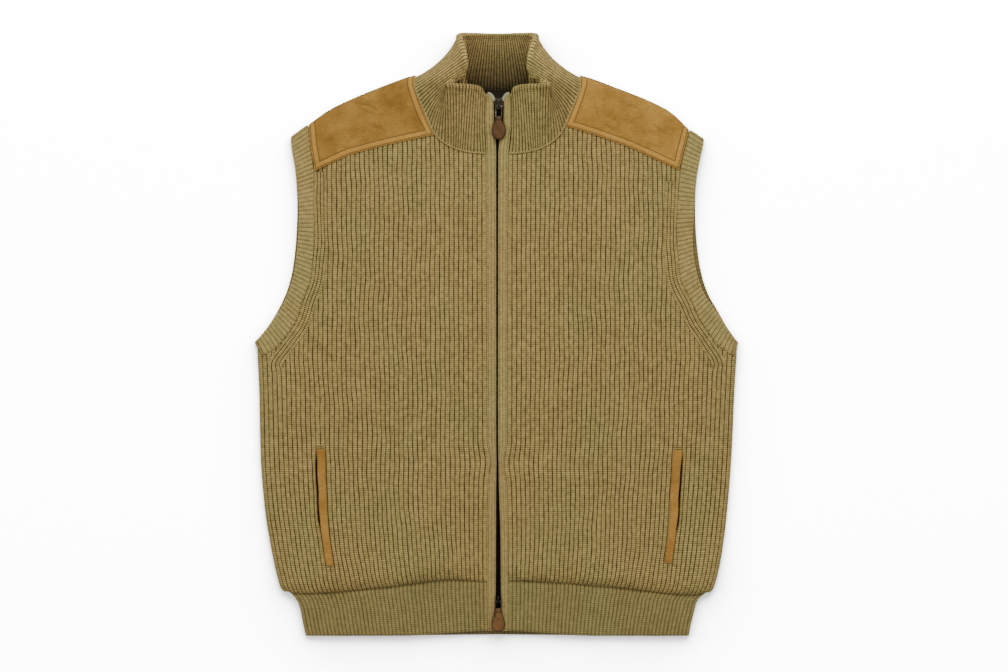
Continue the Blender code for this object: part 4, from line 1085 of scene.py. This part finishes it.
def moved_in(outline, distance):
    """A closed outline, moved towards its inside."""
    shape = np.array(outline, float)
    area = np.sum(shape[:, 0] * np.roll(shape[:, 1], -1) - np.roll(shape[:, 0], -1) * shape[:, 1])
    before, after = unit(shape - np.roll(shape, 1, axis=0)), unit(np.roll(shape, -1, axis=0) - shape)
    turn = 1 if area > 0 else -1
    normals = unit(np.stack((-(before + after)[:, 1], (before + after)[:, 0]), axis=1)) * turn
    corner = np.maximum(np.sqrt(np.maximum((1 + (before * after).sum(axis=1)) / 2, 0)), 0.45)
    return shape + normals * (distance / corner)[:, None]


def bead_row(name, spots, along, size, yarn, sides=8, rings=5):
    """One small rounded stitch at each spot, all in one mesh, of this length, width and height."""
    bm = bmesh.new()
    bmesh.ops.create_uvsphere(bm, u_segments=sides, v_segments=rings, radius=0.5)
    one = bpy.data.meshes.new("bead")
    bm.to_mesh(one)
    bm.free()
    across = unit(np.cross((0.0, 0.0, 1.0), along))
    rise = np.cross(along, across)
    bm = bmesh.new()
    for _ in spots:
        bm.from_mesh(one)
    beads = add_piece(name, bm)
    bead = points_of(one) * size
    bpy.data.meshes.remove(one)
    set_points(beads.data, MM * (spots[:, None] + sum(bead[None, :, k, None] * way[:, None]
                                                      for k, way in enumerate((along, across, rise)))))
    beads.data.shade_smooth()
    uv = beads.data.uv_layers.new(name="knit_count")
    uv.data.foreach_set("uv", np.full(len(beads.data.loops) * 2, 0.5, np.float32))
    beads.data.materials.append(yarn)
    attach(beads, "garment")


for side, name in SIDE_NAMES.items():
    neck = neck_edge_of(side, *PATCH_NECK[side], 14)
    shoulder = [pattern_point(side, point) for point in reversed(SHOULDER[side])]
    outline = [pattern_point(side, point) for point in neck + list(PATCHES[side])] + shoulder
    columns, rows = (even_steps(min(values) - 2, max(values) + 2, round((max(values) - min(values)) / PATCH_GRID))
                     for values in zip(*outline))
    low = FACE_TOP + SEAM_GAP
    sheet = make_slab([(x, low + SUEDE) for x in columns], [(x, low) for x in (columns[0], columns[-1])], rows)
    patch = add_piece(f"shoulder_suede_{name}", sheet)
    cut_to(patch, outline)
    points = points_of(patch.data)
    x, y = points[:, 0], points[:, 1]
    edge_off = off_line(x, y, outline[-1:] + outline[:-len(shoulder) + 1])
    fold = ease((PATCH_BORDER + 0.8 - edge_off) / 1.6) * BORDER_RELIEF
    seam_dip = sum(0.4 * np.exp(-((edge_off - row) / 0.8) ** 2) for row in SEAM_ROWS)
    pucker = 0.16 * np.sin(x / 2.1 + 2 * np.sin(y / 9)) * np.exp(-((edge_off - 10.5) / 4) ** 2)
    swell = 0.55 * np.sin(x / 13 + y / 29) * np.sin(y / 11 - x / 37) * ease((edge_off - 8) / 10)
    # How deep each crease trough is, for its painted shade.
    crease_shade = np.zeros(len(points))
    for crease in PATCH_CREASES[side]:
        rise = crease_height(side * x + FRONT_LINE[side], y, crease)
        swell = swell + rise
        crease_shade = np.maximum(crease_shade, -rise)
    upper = points[:, 2] > low + SUEDE / 2
    points[upper, 2] += (fold - seam_dip + pucker + swell - 0.7 * fall_off(edge_off, 1.2))[upper]
    set_points(patch.data, points)
    mark_points(patch.data, "from_edge", edge_off)
    mark_points(patch.data, "crease_shade", crease_shade)
    lay(patch, partial(front_place, side), PATCH_BORDER, PATCH_BORDER)
    finish_cloth(patch, SUEDE_TAN[side], [f"shoulder_patch_{name}"])
    for number, row in enumerate(SEAM_ROWS):
        line = moved_in(outline, row)
        spots, along = along_outline(np.vstack((line[-1:], line[:-len(shoulder) + 1])), STITCH_STEP)
        height = np.full(len(spots), low + SUEDE + BORDER_RELIEF * 0.8)
        placed = front_place(side, spots[:, 0], spots[:, 1], height)
        ahead = front_place(side, spots[:, 0] + along[:, 0], spots[:, 1] + along[:, 1], height)
        bead_row(f"suede_stitches_{name}_{number + 1}", placed, unit(ahead - placed), STITCH_SIZE,
                 THREAD.material, 6, 4)

# Neck linking: one row of large chained stitches joins the collar to the fronts and patches.
LINK_STEP = 2.5
LINK_SIZE = (2.6, 2.7, 1.8)
LINKED = (0.12, 7.1)  # the collar's stations between which the row runs
LINK_YARN = knit_finish("linking_yarn", (0.40, 0.30, 0.11), (0.30, 0.22, 0.08), row_shade=0.1, mottle=0.25)
for side, name in SIDE_NAMES.items():
    edge = np.array(neck_edge_of(side, *LINKED, samples=120))
    t = np.linspace(*LINKED, 121)
    t = LAST_STATION - t if side == LEFT else t
    seam_height = collar_surface(t, np.zeros(len(t)))[:, 2] + 1.8
    spots, along = along_outline(np.column_stack((edge, seam_height)), LINK_STEP)
    bead_row(f"neck_linking_{name}", spots, along, LINK_SIZE, LINK_YARN)

# Armhole bands: one rib strip folded round each armhole, its ribs across it, seamed behind the
# underarm. The back half shows as a sliver beyond the front half.
BAND_RELIEF = 0.8
BAND_PITCH = 5.8
BAND_FOLD = math.pi * (SEAM_GAP + BAND_WALL) / 2
BAND_WIDTH = 21.5
ARMHOLE_LINK_SIZE = (3.0, 2.0, 2.4)
# The band's back half, lying lower, is painted darker, as painted shade.
BAND_KNIT = knit_finish("armhole_knit", (0.425, 0.322, 0.112), (0.25, 0.182, 0.06), groove_width=0.5, row_shade=0.2,
                        mottle=0.35, split=0.35, shaded_below=0.0034)


def band_place(side, length):
    """Lays the strip as a flattened loop: up the front, over the shoulder, down the back, round the underarm."""
    seam = band_line(side, "seam")
    front_edge = band_line(side, "edge")
    back_edge = band_line(side, "edge", back=True)

    def along(line, share):
        return points_at(np.clip(share, 0, 1) * (len(line) - 1), np.arange(len(line)), line)

    def place(x, across, z):
        rounded = round_off((1 - across) * BAND_WIDTH, 2.2)
        seam_sunk = 1.2 * ease(1 - across * BAND_WIDTH / 2.5)
        middle = BAND_WALL / 2
        height = SEAM_GAP / 2 + middle + np.where(z > 1, z - middle - seam_sunk, -middle) * rounded
        front = x <= length
        share = np.where(front, x / length, 1.0 - np.maximum(x - length - BAND_FOLD, 0) / length)
        turn = np.where(x < 0, math.pi * x / BAND_FOLD,
                        np.where(front, 0.0, np.minimum(math.pi * (x - length) / BAND_FOLD, math.pi)))
        edge_front, edge_back = along(front_edge, share), along(back_edge, share)
        edge = np.where((x > length + BAND_FOLD)[:, None], edge_back, edge_front)
        spot = along(seam, share)
        point = spot + (edge - spot) * across[:, None]
        ahead = unit(along(seam, share + 0.01) - along(seam, share - 0.01))
        point = point + ahead * (height * np.sin(turn))[:, None]
        level = FRONT_FLOOR - SEAM_GAP / 2 + height * np.cos(turn)
        return np.column_stack((point, np.maximum(level, 0.0)))
    return place


band_rows = [0.0, 0.05, 0.1] + even_steps(0.15, 0.88, 7) + [0.9, 0.92, 0.94, 0.96, 0.975, 0.99, 1.0]
for side, name in SIDE_NAMES.items():
    length = float(reach_of(band_line(side, "seam"))[-1])
    ribs = round(length / BAND_PITCH)
    back_start = length + BAND_FOLD
    back_end = back_start + length - SEAM_GAP
    face = rib_columns(-BAND_FOLD, 0, 1, BAND_WALL, BAND_RELIEF)[:-1]
    face += rib_columns(0, length, ribs, BAND_WALL, BAND_RELIEF)[:-1]
    face += rib_columns(length, back_start, 1, BAND_WALL, BAND_RELIEF)[:-1]
    face += rib_columns(back_start, back_end, ribs, BAND_WALL, 0.0)
    under = even_steps(-BAND_FOLD, 0, 6)[:-1] + even_steps(0, length, 80)
    under += even_steps(length, back_start, 6)[1:] + even_steps(back_start, back_end, 80)[1:]
    band = add_piece(f"armhole_band_knit_{name}", make_slab(face, [(x, 0.0) for x in under], band_rows))
    lay(band, band_place(side, length), length / ribs, STITCH_ROW / BAND_WIDTH)
    finish_cloth(band, BAND_KNIT, [f"armhole_band_{name}"])
    spots, along = along_outline(armhole_outline(side), LINK_STEP)
    placed = np.column_stack((spots, np.full(len(spots), FRONT_FLOOR + 1.3)))
    along = np.column_stack((along, np.zeros(len(along))))
    bead_row(f"armhole_linking_{name}", placed, along, ARMHOLE_LINK_SIZE, LINK_YARN, 6, 4)

# Zip tapes: woven tape under the plackets, painted near black as painted shade in the gap between its ends
# at the collar, and whitish where its ends show beside the plackets. The metal teeth stand along its edge.
TAPE_WIDTH = 8.5
TAPE_THICK = 0.8
PLACKET_TOP = 301.0
CHAIN_TOP = 282.0  # the teeth are parted above the top slider
CHAIN_FOOT = -337.0
ZIP_FOOT = -371.0
PLACKET_ROUNDING = 13.0
TAPE_APART = 0.05
TAPE_END_TURNED = 5.2  # the ends are turned outwards
TAPE_TOP = 302.6
TAPE_END_SHOWS = 3.3  # how wide the whitish end is beside the placket's rounded top


def placket_top_inner(side, y):
    """The placket's inner edge, rounded off at its top."""
    outer, inner = placket_outer[side](y), placket_inner[side](y)
    turn = np.clip((y - PLACKET_TOP + PLACKET_ROUNDING) / PLACKET_ROUNDING, 0, 1)
    return inner + (outer - inner) * 0.97 * (1 - np.sqrt(1 - turn ** 2))


def tape_place(side, across, y, z):
    """across is 0 at the tape's inner edge and 1 at its outer edge."""
    middle = (placket_inner[RIGHT](y) + placket_inner[LEFT](y)) / 2
    width = TAPE_WIDTH + TAPE_END_TURNED * ease((y - 292) / 8)
    outer = middle + side * np.minimum(width, np.abs(placket_outer[side](y) - middle) - SEAM_GAP)
    apart = ease((y - CHAIN_TOP - 2) / 6)
    inner = middle + side * (0.3 * (1 - apart) + TAPE_APART * apart)
    inner = np.where((inner - outer) * side > -0.5, outer - side * 0.5, inner)
    return np.stack((inner + (outer - inner) * across, y, FRONT_FLOOR + zip_rise(y) + z + 1.6 * apart), axis=1)


TAPE_CLOTH = Finish("zip_tape_cloth", 0.9, Specular_IOR_Level=0.08)
weave = TAPE_CLOTH.node("TexWave", (TAPE_CLOTH.node("UVMap", uv_map="knit_count"), 3.0, 0.5), out=1,
                        bands_direction="Y")
# The near black is painted shade; only the tape's end beside each placket's top keeps its whitish colour.
end_clear_of_shade = 1.0 - TAPE_CLOTH.mark("beside_placket").ramp(TAPE_END_SHOWS - 0.5, TAPE_END_SHOWS + 0.2)
TAPE_CLOTH.paint(TAPE_CLOTH.mix(end_clear_of_shade, TAPE_CLOTH.mix(weave, (0.016, 0.013, 0.008), (0.034, 0.027, 0.016)),
                                TAPE_CLOTH.mix(weave, (0.40, 0.38, 0.25), (0.64, 0.62, 0.45))))
TAPE_CLOTH.bump(weave, 0.0003)
ZIP_ROWS = even_steps(ZIP_FOOT, 284, 140) + even_steps(285, TAPE_TOP, 24)
for side, name in SIDE_NAMES.items():
    tape = add_piece(f"tape_{name}", make_slab([(x, TAPE_THICK) for x in even_steps(0, 1, 10)], [(0, 0), (1, 0)],
                                              ZIP_ROWS))
    lay(tape, partial(tape_place, side), 0.12, 1.0)
    points = points_of(tape.data) / MM
    rim = [(float(placket_top_inner(side, y)), y) for y in even_steps(286, PLACKET_TOP, 20)]
    beside = np.where(points[:, 1] > 291, off_line(points[:, 0], points[:, 1], rim), FAR)
    mark_points(tape.data, "beside_placket", beside)
    finish_cloth(tape, TAPE_CLOTH.material, [f"zip_tape_{name}"])

AGED_METAL = Finish("aged_metal", 0.3, Metallic=1.0)
wear = AGED_METAL.noise(160.0, 4.0)
AGED_METAL.paint(AGED_METAL.mix(wear.ramp(0.52, 0.78), (0.075, 0.062, 0.046), (0.42, 0.37, 0.29)))
AGED_METAL.bump(wear, 0.0002, 0.4)
BLACK_METAL = Finish("dark_teeth", 0.42, Metallic=1.0)
BLACK_METAL.paint(BLACK_METAL.mix(BLACK_METAL.noise(500.0).ramp(0.5, 0.8), (0.012, 0.010, 0.008), (0.09, 0.075, 0.055)))
TOOTH_PITCH = 2.6
TOOTH = (2.6, 1.15, 1.5)
tooth = bpy.data.meshes.new("tooth")
bm = bmesh.new()
bmesh.ops.create_cube(bm, size=1.0, matrix=Matrix.Diagonal((*TOOTH, 1.0)))
bmesh.ops.bevel(bm, geom=list(bm.edges), offset=0.3, segments=1, profile=0.5, affect="EDGES")
bm.to_mesh(tooth)
bm.free()
for side, name in SIDE_NAMES.items():
    bm = bmesh.new()
    start = CHAIN_FOOT - 32 + (TOOTH_PITCH / 2 if side == LEFT else 0)
    for y in np.arange(start, CHAIN_TOP + 8, TOOTH_PITCH):
        middle = float(placket_inner[RIGHT](y) + placket_inner[LEFT](y)) / 2
        apart = 2.2 * float(ease((CHAIN_FOOT + 4 - y) / 9))
        height = FRONT_FLOOR + float(zip_rise(y)) + TAPE_THICK + TOOTH[2] / 2 - 0.2
        before = len(bm.verts)
        bm.from_mesh(tooth)
        bm.verts.ensure_lookup_table()
        bmesh.ops.translate(bm, vec=(middle + side * (0.75 + apart), y, height), verts=bm.verts[before:])
    bmesh.ops.scale(bm, vec=(MM, MM, MM), verts=bm.verts)
    teeth = add_piece(f"teeth_{name}", bm)
    teeth.data.materials.append(BLACK_METAL.material)
    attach(teeth, "garment")
bpy.data.meshes.remove(tooth)

# Plackets: a plain knit binding folded over each zip tape, from the hem to the top of the collar.
PLACKET_FACE = ((0.0, 4.0), (0.05, 4.4), (0.12, 4.8), (0.22, 5.1), (0.35, 5.4), (0.5, 5.55), (0.65, 5.45),
                (0.78, 5.2), (0.88, 4.8), (0.95, 4.2), (1.0, 3.4))
PLACKET_UNDER = ((0.0, 1.2), (0.45, 1.2), (0.6, 2.6), (0.96, 2.6))
PLACKET_WALES = 3.0
PLACKET_KNIT = knit_finish("placket_knit", (0.465, 0.349, 0.127), (0.21, 0.15, 0.05), groove_width=0.4, row_shade=0.6,
                           mottle=0.35, slant=0.8)
PLACKET_ROWS = even_steps(ZIP_FOOT, PLACKET_TOP - 6, 220) + [PLACKET_TOP - step for step in (4.5, 3, 2, 1.2, 0.5, 0)]


def placket_place(side, x, y, z):
    outer, inner = placket_outer[side](y) + side * 0.5, placket_top_inner(side, y)
    wobble = 0.35 * np.sin(y / 23) + 0.25 * np.sin(y / 9.5 + side)
    rounded = round_off(np.minimum(PLACKET_TOP - y, y - ZIP_FOOT), 3.0)
    puff = 0.18 * np.sin(y / STITCH_ROW * math.pi) ** 2
    level = np.where(z > 2.7, 1.2 + (z - 1.2 + wobble * 0.6 + puff) * rounded, z)
    return np.stack((outer + (inner - outer) * x + wobble * x * (1 - x), y,
                     FRONT_FLOOR + zip_rise(y) + level), axis=1)


for side, name in SIDE_NAMES.items():
    placket = add_piece(f"placket_knit_{name}", make_slab(PLACKET_FACE, PLACKET_UNDER, PLACKET_ROWS))
    lay(placket, partial(placket_place, side), 1 / PLACKET_WALES, STITCH_ROW, first=0.5 / PLACKET_WALES)
    finish_cloth(placket, PLACKET_KNIT, [f"placket_{name}"])

# Pocket welts: a folded suede strip over each pocket's mouth, sewn down with a bar of thread at its ends.
WELT_THICK = 1.8
BAR_STITCH_SIZE = (1.9, 1.5, 1.2)
WELT_FACE = ((0, 0.35), (0.06, 0.75), (0.14, 0.95), (0.3, 1.0), (0.5, 0.9), (0.7, 1.0), (0.86, 1.05), (0.94, 0.9),
             (1, 0.5))
SUEDE_WELT = suede_finish("welt_suede", (0.47, 0.25, 0.056), (0.31, 0.15, 0.027))
for side, name in SIDE_NAMES.items():
    welt = WELTS[side]
    middle = welt.share * PANEL_WIDTH[side]
    low = FACE_TOP + SEAM_GAP
    face = [(middle + welt.width * (x - 0.5), low + WELT_THICK * z) for x, z in WELT_FACE]
    under = [(middle - welt.width / 2, low), (middle + welt.width / 2, low)]
    strip = add_piece(f"welt_{name}", make_slab(face, under, even_steps(welt.bottom, welt.top, 96)))
    points = points_of(strip.data)
    ends = np.minimum(welt.top - points[:, 1], points[:, 1] - welt.bottom)
    ripple = 0.5 * np.sin(points[:, 1] / 7 + side) * np.sin(points[:, 1] / 19)
    upper = points[:, 2] > low + 0.1
    points[upper, 2] += (ripple * 0.4 - 0.9 * fall_off(ends, 3))[upper]
    points[:, 0] += ripple * 0.8
    set_points(strip.data, points)
    lay(strip, partial(front_place, side), welt.width, welt.width)
    finish_cloth(strip, SUEDE_WELT, [f"pocket_welt_{name}"])
    for number, (end, yarn) in enumerate(((welt.top + 1.4, LINK_YARN), (welt.top + 3.9, LINK_YARN),
                                          (welt.bottom - 0.4, THREAD.material))):
        spots = np.array([(middle + step * 1.5, end) for step in range(-3, 4)])
        placed = front_place(side, spots[:, 0], spots[:, 1], np.full(len(spots), low + 0.3))
        bead_row(f"welt_bar_{name}_{number + 1}", placed, np.tile((1.0, 0.0, 0.0), (len(spots), 1)), BAR_STITCH_SIZE,
                 yarn, 6, 4)

# Sliders: metal wedges on the teeth, each with a bridge that holds its pull. The top one is aged metal; the bottom one
# is near black, as painted shade.
Slider = namedtuple("Slider", "y x width length height pull_tilt")
SLIDERS = {
    "top": Slider(288.5, 2.8, 10.4, 13.0, 4.0, 2.5),
    "bottom": Slider(-331.0, 2.25, 5.8, 11.0, 5.6, 0.0),
}
BRIDGE_WIDTH, BRIDGE_THICK, BRIDGE_CLEAR = 2.8, 1.1, 2.2
BRIDGE_END = 0.4  # where its feet stand, as a share of the slider's length from its middle


def rounded_box(bm, middle, size, rounding, segments=2):
    made = bmesh.ops.create_cube(bm, size=1.0, matrix=Matrix.Translation(middle) @ Matrix.Diagonal((*size, 1.0)))
    edges = {edge for vert in made["verts"] for edge in vert.link_edges}
    bmesh.ops.bevel(bm, geom=list(edges), offset=rounding, segments=segments, profile=0.5, affect="EDGES")


def rounded_plate(bm, outline, low, high, rounding):
    """A plate whose upper and lower rims are rounded."""
    verts = draw_out(bm, [(x, y, low) for x, y in outline], (0, 0, high - low))
    bevel_level(bm, verts, "z", rounding)


def bevel_level(bm, verts, axis, rounding, crowded=0):
    """Rounds the edges that run square to an axis, beside a face with more than crowded corners."""
    rims = {edge for vert in verts for edge in vert.link_edges
            if abs(getattr(edge.verts[0].co, axis) - getattr(edge.verts[1].co, axis)) < 1e-6
            and any(len(near.verts) > crowded for near in edge.link_faces)}
    bmesh.ops.bevel(bm, geom=list(rims), offset=rounding, segments=2, profile=0.5, affect="EDGES")


def slider_seat(slider):
    half = slider.length / 2
    slope = math.atan(float(zip_rise(slider.y + half) - zip_rise(slider.y - half)) / slider.length)
    height = FRONT_FLOOR + float(zip_rise(slider.y)) + TAPE_THICK
    return Matrix.Translation((slider.x, slider.y, height)), slope


def slider_form(slider):
    """Two wedge plates, their side rails, the crown and the bridge."""
    bm = bmesh.new()
    w, half, top = slider.width, slider.length / 2, SEAM_GAP + slider.height
    wedge = [(0.5 * w, 0.30 * slider.length), (0.42 * w, 0.46 * slider.length), (0.2 * w, half), (0.0, half - 0.5)]
    wedge = wedge + [(-x, y) for x, y in reversed(wedge[:-1])]
    foot = [(-0.5 * w, 0.05 * slider.length), (-0.36 * w, -half + 0.6), (-0.28 * w, -half), (0.28 * w, -half),
            (0.36 * w, -half + 0.6), (0.5 * w, 0.05 * slider.length)]
    rounded_plate(bm, wedge + foot, top - 1.3, top, 0.35)
    rounded_plate(bm, wedge + foot, SEAM_GAP, SEAM_GAP + 1.0, 0.3)
    for turn in (-1, 1):
        rounded_box(bm, (turn * 0.4 * w, 0.03 * slider.length, SEAM_GAP + slider.height / 2),
                    (0.14 * w, slider.length * 0.72, slider.height - 0.6), 0.25)
        rounded_box(bm, (turn * 0.43 * w, 0.06 * slider.length, top + 0.1), (0.1 * w, slider.length * 0.5, 0.7), 0.2)
    rounded_box(bm, (0, 0.36 * slider.length, SEAM_GAP + slider.height / 2),
                (0.22 * w, slider.length * 0.2, slider.height - 0.6), 0.3)
    end = slider.length * BRIDGE_END
    arch = [(-end, top - 0.4), (-end, top + 1.3), (-end + 0.9, top + BRIDGE_CLEAR + 0.5),
            (0.0, top + BRIDGE_CLEAR + 0.75), (end - 0.9, top + BRIDGE_CLEAR + 0.5), (end, top + 1.3), (end, top - 0.4)]
    path = smooth_path(arch, 22)
    slopes = unit(np.gradient(path, axis=0))
    inner = path + np.stack((slopes[:, 1], -slopes[:, 0]), axis=1) * BRIDGE_THICK
    verts = draw_out(bm, [(-BRIDGE_WIDTH / 2, y, z) for y, z in [*path, *inner[::-1]]], (BRIDGE_WIDTH, 0, 0))
    bevel_level(bm, verts, "x", 0.28, crowded=8)
    return bm


def finish_hard(piece, material, node, body, sharp_angle=180):
    """The last steps for a piece of metal or leather."""
    piece.data.materials.append(material)
    smooth_from(piece.data, sharp_angle)
    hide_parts(node)
    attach(piece, body)


for name, slider in SLIDERS.items():
    place, slope = slider_seat(slider)
    bm = slider_form(slider)
    bmesh.ops.transform(bm, matrix=Matrix.Scale(MM, 4) @ place @ Matrix.Rotation(slope, 4, "X"), verts=bm.verts)
    split_faces(bm)
    # The bottom slider takes the teeth's near-black metal instead of the aged metal, as painted shade.
    finish_hard(add_piece(f"slider_{name}_metal", bm), (AGED_METAL if name == "top" else BLACK_METAL).material,
                f"slider_{name}", "garment", 40)

# Pulls: a wire ring through each bridge, and a leather drop folded round the ring, with dark cut edges
# and a small wire loop at its neck.
RING_WIRE = 1.5
RING_WIDTH, RING_LENGTH = 6.2, 9.0
TAB_THICK = 2.4
TAB_MIDDLE = -12.5
TAB_DOME = ((0.96, -0.9), (1.0, -0.35), (1.0, 0.35), (0.975, 0.72), (0.93, 0.92), (0.85, 1.0), (0.7, 1.06),
            (0.5, 1.1), (0.25, 1.12))  # size and height of the rings of points, from the underside up
TAB_DROP = {"top": 5.2, "bottom": 1.2}  # how much lower the leather hangs on its ring
TAB = {  # how far down and how wide to each side
    "top": ((0.0, 3.4), (3.0, 4.4), (7.0, 6.9), (12.0, 8.7), (17.0, 8.8),
            (21.5, 7.4), (25.0, 4.6), (26.6, 0.0)),
    "bottom": ((0.0, 4.3), (3.0, 5.0), (8.0, 6.6), (14.0, 8.4), (19.0, 8.7),
               (23.5, 7.0), (25.8, 4.2), (26.6, 0.0)),
}
NECK_WIRE = 0.7
NECK_LOOP = ((-4.6, -1.6, 0.9), (-5.6, -3.0, 0.6), (-5.7, -5.6, 0.6), (-5.0, -7.6, 0.9), (-3.4, -7.4, 1.4),
             (-3.2, -2.8, 1.5), (-4.0, -1.4, 1.2), (-4.6, -1.6, 0.9))
LEATHER = Finish("brown_leather", 0.48, Specular_IOR_Level=0.3)
grain = LEATHER.noise(700.0, 4.0)
leather = LEATHER.mix(LEATHER.noise(130.0).ramp(0.35, 0.65), (0.125, 0.055, 0.014), (0.185, 0.090, 0.022))
leather = LEATHER.mix(grain * 0.4, leather, (0.07, 0.030, 0.012))
leather = LEATHER.mix(1.0 - LEATHER.mark("from_edge").ramp(0.3, 2.6), leather, (0.045, 0.019, 0.005))
darker = LEATHER.mix(LEATHER.part(1).ramp(-0.1, 0.1), (1.15, 1.15, 1.10), (0.70, 0.66, 0.60))
LEATHER.paint(LEATHER.mix(1.0, leather, darker, "MULTIPLY"))
LEATHER.bump(grain, 0.0003, 0.6)


def add_wire(name, points, radius):
    """A loop of round wire through the points, in metres."""
    curve = bpy.data.curves.new(name, "CURVE")
    curve.dimensions = "3D"
    curve.bevel_depth = radius
    curve.bevel_resolution = 3
    line = curve.splines.new("POLY")
    line.points.add(len(points) - 1)
    for point, spot in zip(line.points, points):
        point.co = (*spot, 1)
    line.use_cyclic_u = True
    item = put(name, curve)
    mesh = bpy.data.meshes.new_from_object(item.evaluated_get(bpy.context.evaluated_depsgraph_get()))
    bpy.data.objects.remove(item)
    bpy.data.curves.remove(curve)
    mesh.shade_smooth()
    return put(name, mesh)


def tab_form(rows, drop):
    """A leather drop, domed a little, its neck folded round the ring's lower bar."""
    rim = smooth_path([(half_width, -down) for down, half_width in rows], 30)
    rim = [tuple(spot) for spot in rim] + [(-x, y) for x, y in rim[-2::-1]]
    rings = []
    bm = bmesh.new()
    for share, height in TAB_DOME:
        rings.append([bm.verts.new((x * share, TAB_MIDDLE + (y - TAB_MIDDLE) * share, height * TAB_THICK / 2))
                      for x, y in rim])
    for first, second in zip(rings, rings[1:]):
        edges = [[bm.edges.get((ring[k], ring[k - 1])) or bm.edges.new((ring[k], ring[k - 1]))
                  for k in range(len(ring))] for ring in (first, second)]
        bmesh.ops.bridge_loops(bm, edges=edges[0] + edges[1])
    bm.faces.new(rings[-1])
    bm.faces.new(list(reversed(rings[0])))
    bmesh.ops.recalc_face_normals(bm, faces=bm.faces)
    rounded_box(bm, (0, 0.9, 0), (5.2, 4.0, TAB_THICK * 1.15), 0.8, 3)
    bmesh.ops.translate(bm, vec=(0, -RING_LENGTH - RING_WIRE / 2 - SEAM_GAP - drop, 0), verts=bm.verts)
    split_faces(bm)
    return bm, rim


for name, slider in SLIDERS.items():
    place, slope = slider_seat(slider)
    hinge = Matrix.Translation((0, -slider.length * BRIDGE_END + BRIDGE_THICK + RING_WIRE / 2 + 0.35,
                                SEAM_GAP + slider.height + BRIDGE_CLEAR / 2))
    pull = place @ Matrix.Rotation(slope, 4, "X") @ hinge
    pull = pull @ Matrix.Rotation(math.radians(slider.pull_tilt) - slope, 4, "X")
    pull = Matrix.Scale(MM, 4) @ pull
    half, long = RING_WIDTH / 2, RING_LENGTH + TAB_DROP[name]
    loop = ((-half, 0.0), (half, 0.0), (half + 0.4, -0.6), (half + 0.4, -long + 1.2),
            (half - 1.0, -long), (-half + 1.0, -long), (-half - 0.4, -long + 1.2), (-half - 0.4, -0.6), (-half, 0.0))
    ring = add_wire(f"{name}_ring", [pull @ Vector((x, y, 0)) for x, y in smooth_path(loop, 64)[:-1]],
                    RING_WIRE / 2 * MM)
    finish_hard(ring, AGED_METAL.material, f"pull_{name}_ring", f"pull_{name}")

    bm, rim = tab_form(TAB[name], TAB_DROP[name])
    tab = add_piece(f"{name}_leather", bm)
    points = points_of(tab.data)
    shift = RING_LENGTH + RING_WIRE / 2 + SEAM_GAP + TAB_DROP[name]
    edge_off = off_line(points[:, 0], points[:, 1] + shift, rim + rim[:1])
    edge_off[(np.abs(points[:, 0]) < 2.5) & (points[:, 1] > -shift - 1.4)] = 3.0  # the fold round the ring
    mark_points(tab.data, "from_edge", edge_off)
    tab.data.transform(pull)
    finish_hard(tab, LEATHER.material, f"pull_{name}_tab", f"pull_{name}", 50)

    neck = [tuple(pull @ Vector((x, y - shift, z))) for x, y, z in NECK_LOOP]
    small = add_wire(f"{name}_neck_wire", smooth_path(neck, 30)[:-1], NECK_WIRE / 2 * MM)
    small.data.materials.append(AGED_METAL.material)
    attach(small, f"pull_{name}")
